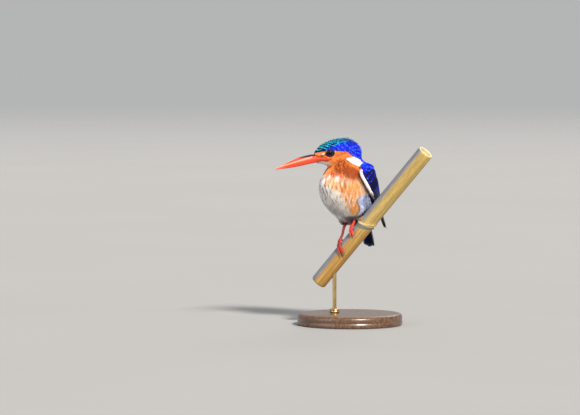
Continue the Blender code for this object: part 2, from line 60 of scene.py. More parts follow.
import bmesh
import bpy
import numpy as np
from mathutils import Matrix, Vector
from mathutils.bvhtree import BVHTree
from mathutils.kdtree import KDTree

MM = 0.001
MAP = "OFBake"  # every coat piece's own map
PATCH = 0.003  # a tuft's patch on that map

# The body's frame: x forwards, y to the bird's left, z up. The head's: x towards the bill's tip
BODY = Matrix.Translation((-1.5, 1.0, 0.0)) @ Matrix.Rotation(math.radians(-132.0), 4, "Z")
HEAD = (
    Matrix.Translation((-17.4, -5.6, 133.8))
    @ Matrix.Rotation(math.radians(-168.0), 4, "Z")
    @ Matrix.Rotation(math.radians(14.0), 4, "Y")
)
EYE = (-0.6, 5.9, 0.5)  # the left eye's middle, in the head's frame
EYE_RADIUS = 2.8
EYE_LOOK = (0.24, 0.96, 0.08)  # where the left eye looks, in the head's frame
THIGHS = ((-0.5, -4.4, 84.5), (0.0, 6.6, 88.0))

# The bill, in the head's frame: along it, culmen, cutting edge, lower edge, half width
BILL = (
    (1.2, -3.3, -4.0, -4.8, 8.0),
    (6.0, -0.9, -2.4, -4.7, 6.6),
    (11.0, 2.4, -1.2, -4.3, 4.2),
    (18.0, 3.0, -0.9, -4.0, 3.2),
    (25.5, 2.6, -0.7, -3.7, 2.5),
    (32.5, 1.4, -0.8, -3.1, 1.8),
    (38.5, 0.1, -1.1, -2.3, 1.0),
    (42.8, -0.8, -1.3, -1.9, 0.45),
)
BILL_GAP = 0.1  # between the two mandibles

# The folded wing: the oval that it lies on (height, half width, reach to the back) and its outline there
WING_OVAL = (
    (74.0, 26.0, 36.0),
    (88.0, 24.5, 31.4),
    (100.0, 23.6, 28.4),
    (112.0, 23.0, 25.1),
    (122.0, 20.5, 19.8),
    (130.0, 14.5, 16.0),
)
WING_FRONT = 25.0
WING_OUTLINE = (  # leading edge x and height, rear edge x and height, thickness
    (5.6, 122.9, 0.0, 125.2, 1.4),
    (8.2, 119.8, -8.4, 125.0, 2.8),
    (6.8, 114.0, -17.2, 121.3, 3.8),
    (2.6, 107.0, -22.9, 114.2, 3.8),
    (-3.5, 99.5, -26.0, 105.8, 3.4),
    (-10.6, 92.0, -27.9, 97.0, 2.8),
    (-18.0, 83.8, -29.6, 88.6, 2.0),
    (-24.5, 77.6, -30.6, 81.6, 1.4),
    (-29.2, 74.0, -31.4, 75.8, 1.0),
)
TAIL_ROOT = (-20.8, 0.0, 86.5)
TAIL_TIP = (-26.3, 0.0, 59.5)

# The reed and what holds it
REED_JOINT = (11.7, -8.0, 78.0)
REED_SLOPE = math.radians(51.6)
REED_LEAN = math.radians(18.0)
REED_RADIUS = 6.2
REED_BELOW = 61.0
REED_ABOVE = 78.0
JOINT_TILT = 3.05
JOINT_FADE = 14.0
BUD_ALONG, BUD_ANGLE, BUD_HALF = 3.2, 24.0, 2.7  # the bud: along the reed, degrees round it, half its length
BORE_RADIUS = 4.3

# The feet: the pad's place along the reed, the shin's top in the body's frame, what is added to the front
# toes' drift and to their angle, and how far from the reed's axis the bright red goes
FOOT_ANGLE = 4.0
SOLE_RADIUS = REED_RADIUS + 1.2
# the darker shin beyond the red is partly painted shade, and reaches lower on the shaded right leg
FEET = {
    "right": (-23.6, (-0.8, -2.4, 81.5), -2.8, 16.0, 6.6),
    "left": (-8.2, (-0.6, 7.8, 84.5), -0.8, -15.0, 9.5),
}
TOES = (  # start and end angle round the reed, drift along it at the start and at the end
    (4.0, 78.0, -0.8, -3.3),
    (4.0, 98.0, 0.1, -1.4),
    (4.0, 88.0, 1.0, 0.0),
    (-4.0, -84.0, 0.4, 1.6),
)
CLAW_SHARE = 0.22
SIDES = (("left", 1.0), ("right", -1.0))
HEAD_HEIGHT = 121.0  # the coat's pieces part here, and again between breast and belly
BREAST_HEIGHT = 105.0
ROOTS = 90000  # places that are tried for a feather's root
SOFT_SPACING = 1.75  # soft vanes among the locks: their spacing and their width, as multiples of the locks'
SOFT_WIDTH = 5.2
REED_ROOM = 0.5  # between the reed and the feathers over it
LEG_VOXEL = 0.00014  # how finely the legs' skin is remeshed, in metres
LAY_STEPS = 5  # steps from a body feather's root to its tip
HEAD_COATS = ("coat_crown", "coat_cheeks", "coat_cheek_vanes")


def length(name, text, value, low=0.0):
    """A size that a user may change, in metres."""
    return bpy.props.FloatProperty(name=name, description=text, default=value, min=low, unit="LENGTH")


def colour(name, text, value):
    """A colour that a user may change, in linear light."""
    return bpy.props.FloatVectorProperty(
        name=name, description=text, default=value, size=3, min=0.0, max=1.0, subtype="COLOR"
    )


class KingfisherSizes(bpy.types.PropertyGroup):
    """Sizes of the coat and of the finishes"""

    skin_voxel: length("Skin voxel", "How finely the skin is remeshed", 0.00055, 0.0003)
    seam: length("Seam bridge", "How far the three solids swell to close the cuts between them", 0.00035)
    coat_trunk: length("Coat on the trunk", "How deep the coat lies over the trunk", 0.0017)
    coat_head: length("Coat on the head", "How deep the coat lies over the head", 0.0009)
    coat_crest: length("Coat on the crest", "How deep the coat lies at the back of the head", 0.0016)
    coat_face: length("Coat on the face", "How deep the coat lies round the bill and the eyes", 0.0006)
    vane_thickness: length("Vane thickness", "How thick a feather's vane is", 0.00011)
    bar_pitch: length("Crown bars", "Distance from one turquoise bar to the next", 0.0023)


class KingfisherColours(bpy.types.PropertyGroup):
    """Colours of the bird, its reed and its stand"""

    turquoise: colour("Turquoise", "Bars of the crown", (0.02, 0.72, 1.0))
    ultramarine: colour("Ultramarine", "Sides of the crown, nape and mantle", (0.006, 0.01, 0.72))
    azure: colour("Azure", "Flecks of the nape and the rump", (0.03, 0.2, 0.85))
    ink: colour("Blue-black", "Bars of the crown and the wings", (0.004, 0.005, 0.018))
    violet: colour("Violet", "Spots of the wing coverts", (0.05, 0.02, 0.72))
    rufous: colour("Rufous", "Cheeks and upper breast", (0.95, 0.26, 0.06))
    chestnut: colour("Chestnut", "Dark patch at the side of the neck", (0.42, 0.075, 0.018))
    orange: colour("Orange", "Flanks", (1.0, 0.44, 0.12))
    buff: colour("Buff", "Breast", (0.95, 0.58, 0.27))
    white: colour("White", "Chin, neck patch and streaks", (0.93, 0.93, 0.92))
    grey: colour("Blue-grey", "Shaded streaks of the belly", (0.23, 0.255, 0.37))
    belly: colour("Belly", "Middle of the belly", (0.97, 0.89, 0.8))
    # slate serves mostly as painted shade: vent, thighs, the far breast's edge, lines beside the wings; also
    # the lids
    slate: colour("Slate", "Thighs and vent", (0.05, 0.06, 0.088))
    bill: colour("Bill", "Both mandibles", (0.93, 0.065, 0.02))
    bill_pale: colour("Bill highlight", "Pale streaks along the bill", (0.93, 0.3, 0.16))
    bill_dark: colour("Culmen", "Darker ridge near the bill's base", (0.055, 0.005, 0.018))
    leg: colour("Toes", "Toes and feet", (0.66, 0.036, 0.012))
    # the shins' darker red is partly painted shade
    shin: colour("Shins", "Shins below the thighs", (0.19, 0.008, 0.007))
    claw: colour("Claws", "Claws", (0.11, 0.075, 0.065))
    reed: colour("Reed", "Sunlit straw of the reed", (0.62, 0.42, 0.11))
    reed_pale: colour("Reed highlight", "Pale streaks along the reed", (0.75, 0.62, 0.32))
    # painted shade, tinted by a painted reflection of the sky, for the reed's upper side
    reed_painted_shade: colour("Reed shade", "Weathered blue-grey side of the reed", (0.1, 0.12, 0.155))
    wood: colour("Stand wood", "Base of the stand", (0.07, 0.034, 0.016))
    brass: colour("Brass", "Rod and collar", (0.62, 0.42, 0.17))
    floor: colour("Floor", "Floor and backdrop", (0.375, 0.372, 0.366))


def sizes():
    return bpy.context.scene.kingfisher_sizes


def tone(name):
    return np.array(getattr(bpy.context.scene.kingfisher_colours, name))


# ------------------------------------------------------------------------------------------ small maths
def between(rows, steps):
    """The rows of a table of sections with steps - 1 smooth rows put between each two (Catmull-Rom)."""
    rows = np.array(rows, float)
    padded = np.vstack([rows[:1], rows, rows[-1:]])
    made = []
    for i in range(len(rows) - 1):
        a, b, c, d = padded[i : i + 4]
        for step in range(steps):
            t = step / steps
            made.append(
                (-0.5 * t + t**2 - 0.5 * t**3) * a
                + (1 - 2.5 * t**2 + 1.5 * t**3) * b
                + (0.5 * t + 2 * t**2 - 1.5 * t**3) * c
                + (-0.5 * t**2 + 0.5 * t**3) * d
            )
    made.append(rows[-1])
    return np.array(made)


def rise(values, low, high):
    """0 below low, 1 above high and smooth between; with low above high it falls instead."""
    t = np.clip((values - low) / (high - low), 0.0, 1.0)
    return t * t * (3 - 2 * t)


def line(values, *corners):
    """A line through corners (value, result), level beyond its ends."""
    at, result = zip(*sorted(corners))
    return np.interp(values, at, result)


def mix(values, target, amount):
    """Values drawn towards the target by the amount, which may differ from row to row."""
    amount = np.asarray(amount, float)
    if np.ndim(values) > np.ndim(amount):
        amount = amount[..., None]
    return values + (target - values) * amount


def unit(vectors):
    return vectors / np.maximum(np.linalg.norm(vectors, axis=-1, keepdims=True), 1e-9)


def turned(vectors, frame_of):
    return vectors @ np.array(frame_of.to_3x3()).T


def placed(points, frame_of):
    """Points from a frame to the model's own."""
    return turned(np.asarray(points, float), frame_of) + np.array(frame_of.translation)


def seen_from(points, frame_of):
    """Points of the model in a frame's own measures."""
    return placed(points, frame_of.inverted())


def circle(count):
    """Angles spread evenly round a circle."""
    return np.linspace(0.0, 2 * math.pi, count, endpoint=False)


def ripple(points, size, seed):
    """A smooth random value from about -1 to 1 at each point, which changes over about this size."""
    draws = np.random.default_rng(seed)
    total = np.zeros(points.shape[:-1])
    for _ in range(6):
        way = unit(draws.normal(size=3)) * draws.uniform(0.6, 1.5) * 2 * math.pi / size
        total += np.sin(points @ way + draws.uniform(0, 2 * math.pi))
    return total / 3.0


# ------------------------------------------------------------------------------------------ materials
class Value:
    """A node's output in an expression: each operator adds the Math node that works it out."""

    def __init__(self, finish, socket):
        self.finish = finish
        self.socket = socket

    def math(self, operation, *others):
        return self.finish.node("ShaderNodeMath", {"operation": operation}, dict(enumerate((self, *others))))

    def __add__(self, other):
        return self.math("ADD", other)

    def __sub__(self, other):
        return self.math("SUBTRACT", other)

    def __mul__(self, other):
        return self.math("MULTIPLY", other)

    def __rsub__(self, other):
        return self.finish.node("ShaderNodeMath", {"operation": "SUBTRACT"}, {0: other, 1: self})

    __radd__ = __add__
    __rmul__ = __mul__

    def between(self, low, high):
        """0 at low, 1 at high and beyond; low may be above high."""
        return self.finish.node(
            "ShaderNodeMapRange", {"interpolation_type": "SMOOTHSTEP"}, {0: self, 1: low, 2: high}
        )


class Finish:
    """A material, and the one method that adds nodes to it."""

    def __init__(self, name, **fixed):
        self.material = bpy.data.materials.new(name)
        self.material.use_nodes = True
        self.tree = self.material.node_tree
        self.shader = self.tree.nodes["Principled BSDF"]
        self.base = None
        for socket, value in fixed.items():
            self.shader.inputs[socket.replace("_", " ")].default_value = value

    def put(self, socket, value):
        """Links a value to a socket, or sets the socket to a number, a vector or a colour."""
        if isinstance(value, Value):
            self.tree.links.new(value.socket, socket)
        elif np.ndim(value) and len(socket.default_value) == 4:
            socket.default_value = (*value, 1.0)
        else:
            socket.default_value = value

    def node(self, kind, settings=None, inputs=None, output=0):
        """Adds a node: its settings first, and then the values or links of its sockets."""
        made = self.tree.nodes.new(kind)
        for name, value in (settings or {}).items():
            setattr(made, name, value)
        for name, value in (inputs or {}).items():
            self.put(made.inputs[name], value)
        return Value(self, made.outputs[output])

    def place(self, stretch=(1.0, 1.0, 1.0), turn=(0.0, 0.0, 0.0)):
        """Object coordinates, turned and stretched for a pattern."""
        start = self.node("ShaderNodeTexCoord", output="Object")
        return self.node("ShaderNodeMapping", inputs={"Vector": start, "Rotation": turn, "Scale": stretch})

    def noise(self, where, scale, detail=3.0, rough=0.5):
        inputs = {"Vector": where, "Scale": scale, "Detail": detail, "Roughness": rough}
        return self.node("ShaderNodeTexNoise", inputs=inputs)

    def mixed(self, amount, first, second):
        """Two colours mixed: none of the second at 0, all of it at 1."""
        return self.node("ShaderNodeMix", {"data_type": "RGBA"}, {0: amount, 6: first, 7: second}, 2)

    def over(self, amount, hue):
        """Paints a colour over the base colour so far."""
        self.base = self.mixed(amount, self.base, hue)

    def vector(self, operation, *values, output=0):
        """Vector maths; output 1 is a number."""
        return self.node("ShaderNodeVectorMath", {"operation": operation}, dict(enumerate(values)), output)

    def parts(self, vector):
        """A vector's three parts."""
        first = self.node("ShaderNodeSeparateXYZ", inputs={0: vector})
        return [Value(self, output) for output in first.socket.node.outputs]

    def plumage(self, shade):
        """The mesh's own colours, made lighter or darker by a shade."""
        inputs = {0: self.attribute("plumage"), "Scale": shade}
        return self.node("ShaderNodeVectorMath", {"operation": "SCALE"}, inputs)

    def attribute(self, name, output="Color"):
        return self.node("ShaderNodeAttribute", {"attribute_name": name}, output=output)

    def bump(self, height, depth, strength=1.0):
        inputs = {"Height": height, "Distance": depth, "Strength": strength}
        return self.node("ShaderNodeBump", inputs=inputs)

    def feed(self, base, rough, *bump, **others):
        """Feeds the shader's base colour, roughness, a bump from height, depth and strength, and others."""
        if bump:
            others["Normal"] = self.bump(*bump)
        for name, value in {"Base Color": base, "Roughness": rough, **others}.items():
            self.put(self.shader.inputs[name], value)
        return self.material


def feather_finish(name, rough_dull, rough_glossy, shine):
    """Barbs slant from a vane's middle line to its edges; the colour is the vane's own."""
    finish = Finish(name, Specular_IOR_Level=shine)
    across, along, _ = finish.parts(finish.attribute("barbs", "Vector"))
    slant = along - across.math("ABSOLUTE") * 0.9
    ridges = (slant * (2 * math.pi / 0.16)).math("SINE") * 0.5 + 0.5
    mottle = finish.noise(finish.place(), 2600.0, 2.0)
    shade = (mottle.between(0.3, 0.7) * 0.16 + ridges * 0.14) * -1.0 + 1.1
    rough = finish.attribute("gloss", "Fac") * (rough_glossy - rough_dull) + rough_dull
    return finish.feed(finish.plumage(shade), rough, ridges, 0.00004, 0.6)


# ------------------------------------------------------------------------------------------ mesh helpers
def deselect():
    if bpy.context.object and bpy.context.object.mode != "OBJECT":
        bpy.ops.object.mode_set(mode="OBJECT")
    bpy.ops.object.select_all(action="DESELECT")


def choose(item):
    deselect()
    item.select_set(True)
    bpy.context.view_layer.objects.active = item
    return item


def apply_modifier(item, name, kind, **settings):
    """Adds a modifier, sets it and applies it."""
    choose(item)
    change = item.modifiers.new(name, kind)
    for key, value in settings.items():
        setattr(change, key, value)
    bpy.ops.object.modifier_apply(modifier=name)


def finish_piece(item, name, slot, material, replaces=(), sharp=False):
    """Names a finished piece and gives it its material and its body. Its slot is not used."""
    item.name = name
    item.data.name = name
    item.data.materials.clear()
    item.data.materials.append(material)
    if sharp:
        choose(item)
        bpy.ops.object.shade_smooth_by_angle(angle=math.radians(50.0))
    else:
        item.data.shade_smooth()
    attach(item, "root")
    if replaces:
        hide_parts(*replaces)


def new_mesh(name, places, corners, totals):
    """A mesh from places in millimetres, the faces' corners one after another, and each face's count."""
    mesh = bpy.data.meshes.new(name)
    mesh.vertices.add(len(places))
    mesh.vertices.foreach_set("co", (places * MM).astype(np.float32).ravel())
    mesh.loops.add(len(corners))
    mesh.loops.foreach_set("vertex_index", corners.astype(np.int32))
    mesh.polygons.add(len(totals))
    mesh.polygons.foreach_set("loop_start", np.concatenate([[0], np.cumsum(totals)[:-1]]).astype(np.int32))
    mesh.update(calc_edges=True)
    mesh.validate()
    return mesh


def new_item(name, data):
    item = bpy.data.objects.new(name, data)
    bpy.context.scene.collection.objects.link(item)
    return item


def places_of(mesh):
    """A mesh's points in millimetres."""
    found = np.empty(len(mesh.vertices) * 3, np.float32)
    mesh.vertices.foreach_get("co", found)
    return found.reshape(-1, 3).astype(float) / MM


def normals_of(mesh):
    found = np.empty(len(mesh.vertices) * 3, np.float32)
    mesh.vertex_normals.foreach_get("vector", found)
    return found.reshape(-1, 3).astype(float)


def set_places(mesh, places):
    mesh.vertices.foreach_set("co", (places * MM).astype(np.float32).ravel())
    mesh.update()


def point_attribute(mesh, name, values):
    """Stores a value, a vector or a colour at each point."""
    values = np.asarray(values, np.float32)
    if values.ndim == 1:
        layer, field = mesh.attributes.new(name, "FLOAT", "POINT"), "value"
    elif name == "plumage":
        layer, field = mesh.attributes.new(name, "FLOAT_COLOR", "POINT"), "color"
        values = np.column_stack([values, np.ones(len(values), np.float32)])
    else:
        layer, field = mesh.attributes.new(name, "FLOAT_VECTOR", "POINT"), "vector"
    layer.data.foreach_set(field, values.ravel())


def corner_map(mesh, uvs):
    """Writes the piece's own map from a place for each point."""
    corners = np.empty(len(mesh.loops), np.int32)
    mesh.loops.foreach_get("vertex_index", corners)
    layer = mesh.uv_layers.new(name=MAP)
    layer.data.foreach_set("uv", uvs[corners].astype(np.float32).ravel())


def face_outwards(doubles=0.0):
    """Turns the active piece's faces outwards, after points nearer than doubles are merged."""
    bpy.ops.object.mode_set(mode="EDIT")
    bpy.ops.mesh.select_all(action="SELECT")
    if doubles:
        bpy.ops.mesh.remove_doubles(threshold=doubles)
    bpy.ops.mesh.normals_make_consistent(inside=False)
    bpy.ops.object.mode_set(mode="OBJECT")


def extruded(count, levels):
    """A filled ring extruded level by level: the piece, and each point's level and number round the ring."""
    deselect()
    bpy.ops.mesh.primitive_circle_add(vertices=count, radius=MM, fill_type="NGON")
    item = bpy.context.object
    bpy.ops.object.mode_set(mode="EDIT")
    bpy.ops.mesh.select_all(action="SELECT")
    for _ in range(1, levels):
        bpy.ops.mesh.extrude_region_move(TRANSFORM_OT_translate={"value": (0.0, 0.0, MM)})
    bpy.ops.object.mode_set(mode="OBJECT")
    now = places_of(item.data)
    turn = np.mod(np.arctan2(now[:, 1], now[:, 0]) + 0.01, 2 * math.pi)
    return item, np.rint(now[:, 2]).astype(int), (turn * count / (2 * math.pi)).astype(int)


def loft(name, rings):
    """A closed piece through rings of as many points each, both its ends filled."""
    item, level, number = extruded(len(rings[0]), len(rings))
    set_places(item.data, np.array(rings)[level, number])
    face_outwards()
    item.name = name
    return item


# ------------------------------------------------------------------------------------------ the markings
def above_cap_edge(x, z):
    """How far places of the head lie above the lower edge of its blue cap."""
    edge = line(
        x, (12.0, 3.2), (7.9, 3.3), (4.0, 3.1), (0.5, 3.1), (-3.8, 1.5), (-8.7, 0.0), (-13.6, -1.8),
        (-15.2, -4.4), (-18.4, -7.2), (-23.4, -11.0), (-27.0, -16.0),
    )
    return z - edge


def away_from(points, middle, scale=(1.0, 1.0, 1.0)):
    """How far points are from a middle, with a scale for each axis."""
    return np.linalg.norm((points - np.array(middle)) * scale, axis=1)


def filled(hue, count):
    """The same colour for each of so many points."""
    return np.tile(hue, (count, 1))


def markings(points, lean=0.0):
    """The colour and the gloss of skin and feathers at these places, with shade painted in. Lean varies a
    feather's own tone.
    """
    head, body = seen_from(points, HEAD), seen_from(points, BODY)
    x, y, z = head.T
    side = np.abs(y)
    fx, fy, fz = body.T
    beside = np.abs(fy)
    around = np.arctan2(fy, fx)
    streak = ripple(np.column_stack([around * 16.0, fz * 0.16, fx * 0.1]), 1.6, 11)
    patch = ripple(points, 7.0, 12)
    speck = ripple(points, 1.5, 13)
    made = filled(tone("buff"), len(points))

    def paint(hue, amount):
        """Paints a colour, or a colour's name, over what is there."""
        nonlocal made
        made = mix(made, tone(hue) if isinstance(hue, str) else hue, amount)

    # the flanks are orange, and the upper breast rufous
    paint("orange", rise(np.abs(fy + 1.0), 8.5, 13.5) * rise(fz, 84.0, 90.0) * rise(fz, 112.0, 104.0))
    paint("orange", rise(patch, 0.0, 0.9) * 0.55)
    paint("rufous", rise(fz + 1.6 * streak, 111.0, 117.0) * 0.85)
    # streaks down the breast, and the pale belly with grey between its own; much of that grey is painted
    # shade
    paint("white", rise(streak, 0.25, 0.75) * 0.55 * rise(fz, 119.0, 112.0))
    paint("chestnut", rise(-streak, 0.45, 0.95) * 0.5 * rise(fz, 100.0, 106.0))
    near_edge = line(
        fz, (80.0, 6.0), (88.0, 9.5), (95.0, 10.5), (103.0, 10.0), (106.0, 7.0), (108.5, 1.0), (111.0, -3.0),
        (115.0, -7.0), (119.0, -11.0),
    )
    far_edge = line(fz, (84.0, -13.0), (96.0, -17.0), (108.0, -17.5), (117.0, -12.0))
    pale = rise(fy + 1.6 * patch + 1.2 * streak, near_edge + 1.6, near_edge - 1.6)
    pale = pale * rise(fy - 1.2 * patch, far_edge - 1.5, far_edge + 1.5) * rise(fx, 0.0, 5.0)
    paint("belly", pale)
    paint("white", pale * rise(streak, 0.0, 0.6) * 0.6)
    # painted shade: darker grey between the streaks on the bird's right side, away from the light
    paint(tone("grey") * 0.45, pale * rise(-streak, 0.15, 0.6) * rise(fy, 7.0, -3.0) * 0.85)
    # painted shade: grey low on the belly, on its underside
    paint("grey", pale * rise(fz, 92.0, 86.0) * rise(patch, -0.3, 0.8) * 0.4)
    # painted shade: the far, shaded side of the breast is violet-grey above and edged with dark slate below
    far = rise(-fy, 7.0, 12.0) * rise(fx, 4.0, 8.0) * rise(fz, 108.0, 113.0) * rise(fz, 124.0, 120.0)
    paint(mix(tone("grey"), tone("buff"), 0.35), far * (0.45 + 0.4 * np.clip(patch, -1, 1)))
    outline = rise(-fy + 0.8 * speck, 12.4, 15.0) * rise(fz, 114.0, 110.0) * rise(fx, 0.0, 4.0)
    paint(tone("slate") * 0.6, outline * 0.75)
    mottle = ripple(np.column_stack([around * 22.0, fz * 0.5, fx * 0.4]), 2.2, 32)
    breast = rise(fx, 2.0, 6.0) * rise(fz, 88.0, 92.0) * rise(fz, 121.0, 117.0)
    paint("white", rise(mottle, 0.45, 0.85) * breast * 0.55)
    paint(tone("chestnut") * 0.8, rise(-mottle, 0.5, 0.9) * breast * 0.45)
    # spots of white on the upper breast
    for spot, size in (((21.0, -1.1, 115.5), 1.7), ((20.9, 6.7, 115.3), 2.0), ((22.5, -6.5, 112.0), 2.2)):
        away = away_from(body, spot, (1.0, 1.0, 0.62))
        paint("white", rise(away + 0.5 * speck, size + 0.7, size - 0.5) * 0.85)
    # the wing's neighbours: a dark line of painted shadow along its front edge, pale flank feathers under it
    front = line(fz, (95.0, 0.0), (104.0, 3.0), (108.0, 5.0), (114.0, 8.5), (120.0, 8.5), (124.0, 6.0))
    dark = rise(fx, front + 1.5, front + 0.3) * rise(fx, front - 3.0, front - 1.2)
    paint("slate", dark * rise(beside, 14.0, 17.0) * rise(fz, 100.0, 104.0) * 0.65)
    low_edge = line(fz, (90.0, 4.0), (97.0, 9.0), (101.0, 8.0), (105.0, 5.0))
    under = rise(beside, 12.0, 14.5) * rise(low_edge - fx + 0.4 * speck, -0.6, 0.6)
    under = under * rise(fz + 0.5 * speck, 103.5, 101.5)
    # painted shade: a blue tint on the pale flank feathers under the wing
    paint(mix(tone("white"), tone("azure"), 0.38), under)
    # painted shade: grey and ink streaks deeper under the wing
    deep = under * rise(low_edge - 3.6 - fx + 0.4 * speck, -0.8, 0.8)
    paint(mix(tone("grey") * 1.25, tone("ink"), 0.25 + 0.25 * np.clip(streak, -1, 1)[:, None]), deep)
    # painted shadow: a slate line along the wing's lower front edge
    rim = rise(np.abs(fx - low_edge - 0.6 - 0.3 * speck), 0.8, 0.25)
    paint("slate", rim * rise(beside, 11.5, 13.5) * rise(fz, 102.0, 98.0) * 0.7)
    # painted shade: slate on the vent and the thighs under the body, less on the near thigh; under the tail
    # orange
    shade = mix(tone("slate"), tone("grey"), 0.35)
    vent = rise(fz + 0.35 * fx, 88.5, 86.0) * rise(fx, 16.0, 12.0) * rise(fy + 0.8 * speck, -1.5, 2.5)
    paint(shade, vent * 0.8)
    paint("orange", rise(fx, -5.0, -9.0) * rise(fz, 92.0, 86.0))
    for thigh in THIGHS:
        away = away_from(body, thigh, (1.0, 1.0, 0.7)) + 1.3 * speck
        dark = rise(away, 6.4 + 0.12 * thigh[1], 4.2 + 0.12 * thigh[1])
        paint(shade, dark * (1.0 - 0.6 * rise(fy + speck, 4.0, 9.0)))

    # the head: rufous cheeks, chestnut below and across them, a white chin
    warm = 0.35 + 0.3 * np.clip(ripple(points, 3.0, 14), -1, 1)
    paint(mix(tone("rufous"), tone("orange"), warm[:, None]), rise(fz, 119.0, 123.0) * rise(x, -27.0, -22.0))
    hollow = np.hypot((x + 4.5 + 0.62 * (z + 10.0)) / 8.0, (z + 11.5) / 5.5)
    hollow = rise(hollow + 0.2 * speck, 1.25, 0.7) * rise(side, 5.0, 7.5)
    paint("chestnut", hollow * (0.35 + 0.65 * rise(ripple(points, 2.2, 31), -0.5, 0.3)))
    low_neck = away_from(body, (11.5, 0.0, 119.5), (0.9, 0.0, 1.0))
    paint("chestnut", rise(low_neck + 0.6 * speck, 6.5, 4.0) * rise(beside, 7.0, 9.5) * 0.8)
    stripe = rise(np.abs(z + 3.0 + 0.12 * x), 2.0, 0.6) * rise(x, -1.0, -4.0) * rise(x, -14.0, -11.0)
    paint("chestnut", stripe * rise(side, 6.0, 8.0) * 0.35)
    chin = rise(side, 5.6, 4.2) * rise(x + 0.6 * speck, -3.0, 0.5) * rise(z, -3.6, -4.8)
    chin = chin * rise(z + 0.5 * speck - 0.25 * x, -9.5, -8.2)
    paint("white", chin)
    paint("grey", chin * rise(speck, 0.3, 0.8) * 0.4)
    # the white patch on the side of the neck
    upper = line(x, (-11.0, -6.3), (-15.2, -6.4), (-18.4, -6.9), (-23.4, -10.4), (-27.0, -15.0))
    lower = line(x, (-11.0, -7.2), (-13.9, -10.2), (-17.0, -12.9), (-20.5, -15.4), (-25.0, -18.0))
    wedge = rise(upper - z + 0.2 * speck, -0.3, 0.3) * rise(z - lower + 0.2 * speck, -0.3, 0.3)
    wedge = wedge * rise(x, -10.6, -11.6) * rise(side, 4.0, 6.0) * rise(x, -26.0, -24.0)
    wedge = wedge * np.maximum(rise(y, -1.0, 1.0), rise(x + 0.3 * speck, -22.5, -20.5))
    paint("white", wedge)

    # the blue of cap and back; the cap is barred with turquoise along the top
    above = above_cap_edge(x, z)
    nape = rise(fx, 0.5, -1.5) * rise(fz, 118.0, 121.0)
    nape = nape * (1.0 - rise(y, 0.0, -3.0) * rise(x + 0.4 * speck, -17.5, -15.5))
    cap = np.maximum(rise(above + 0.2 * speck, -0.25, 0.25), nape * (1.0 - wedge))
    back_edge = line(beside, (9.0, -5.5), (14.0, -10.5))
    back = rise(back_edge - fx + 0.3 * speck, -0.7, 0.7) * rise(fz, 125.0, 122.5)
    rump = rise(fz + 0.9 * fx, 80.5, 82.0)
    blue = np.maximum(cap, back * np.maximum(rump, rise(fx, -14.0, -17.0) * rise(fz, 79.0, 82.0)))
    fleck = rise(ripple(points, 1.9, 15) + 0.25 * lean, 0.35, 0.75)
    coat = mix(tone("ultramarine"), tone("azure"), fleck[:, None])
    coat = mix(coat, tone("ink"), rise(ripple(points, 2.3, 16) - 0.2 * lean, 0.45, 0.9) * 0.75)
    coat = mix(coat, tone("azure"), (1 - cap) * back * rise(beside, 9.0, 4.0) * 0.75)
    paint(coat, blue)
    top = line(x, (12.0, 3.6), (4.0, 3.6), (-3.7, 5.4), (-11.3, 6.4), (-18.8, 5.0), (-26.0, 1.5))
    crown = cap * rise(z - top + 0.35 * speck, -0.5, 0.5)
    pitch = sizes().bar_pitch / MM
    wave = np.mod((x + 0.10 * side * side + 0.3 * lean) / pitch + 0.12 * speck, 1.0)
    bar = rise(np.abs(wave - 0.5), 0.24, 0.13) * rise(ripple(points, 1.1, 17) + 0.2 * lean, -0.75, -0.35)
    hind = np.maximum(rise(side, 3.0, 7.5) * 0.5, rise(x, -8.0, -16.0) * 0.75)
    bright = mix(tone("turquoise"), tone("azure"), hind[:, None])
    paint(mix(filled(tone("ink"), len(points)), bright, bar), crown)
    brow = cap * rise(above, 1.7, 0.8) * rise(x, 1.5, 3.0)
    paint("ink", np.maximum(brow, cap * rise(x, 8.0, 9.6) * 0.9))
    # between eye and bill, the black round the eye, the pale spot before it, and the red gape under it
    lore = rise(np.abs(z - 0.4 + 0.06 * x), 1.5, 0.6) * rise(x, 2.0, 4.0) * rise(x, 11.0, 9.0)
    paint("chestnut", lore * rise(side, 2.5, 4.0) * 0.75)
    ring = np.hypot((x + 0.25) / 3.5, (z - 0.45) / 2.6)
    paint("ink", rise(ring, 1.12, 0.98) * rise(side, 4.0, 5.0))
    spot = np.hypot((x - 5.0) / 1.2, (z - 1.3) / 0.6)
    paint("white", rise(spot, 1.25, 0.75) * rise(side, 4.0, 5.0) * 0.9)
    gape = rise(np.abs(z + 3.7 - 0.28 * (x - 1.2)), 0.75, 0.45) * rise(x, -1.0, 0.0) * rise(side, 5.0, 6.0)
    paint("bill", gape * rise(x, 8.0, 6.0))
    if np.ndim(lean):
        made = made * (1.0 + 0.1 * lean)[:, None]
    return np.clip(made, 0.002, 0.95), mix(np.full(len(points), 0.15), 0.75, blue)


# ------------------------------------------------------------------------------------------ the skin
def off_eye(head):
    """How far places in the head's frame are from the nearer eye's axis of sight."""
    x, y, z = head.T
    out = np.column_stack([x, np.abs(y), z]) - np.array(EYE)
    look = unit(np.array(EYE_LOOK))
    ahead = out @ look
    beside = np.linalg.norm(out - ahead[:, None] * look, axis=1)
    return np.where(ahead > -0.5, beside, 99.0)


def coat_depth(points):
    """How deep the coat lies at these places: the skin is this far inside the solids."""
    head, body = seen_from(points, HEAD), seen_from(points, BODY)
    x, _, z = head.T
    size = sizes()
    depth = np.full(len(points), size.coat_trunk / MM)
    on_head = rise(body[:, 2], 117.0, 124.0)
    depth = mix(depth, size.coat_head / MM, on_head)
    depth = mix(depth, size.coat_crest / MM, on_head * rise(x, -8.0, -18.0) * rise(z, -6.0, 0.0))
    depth = mix(depth, size.coat_face / MM, on_head * rise(x, 1.0, 6.0))
    depth = mix(depth, 0.22, rise(x, 6.5, 9.0) * on_head)
    return mix(depth, 0.5, rise(off_eye(head), 4.0, 2.6))


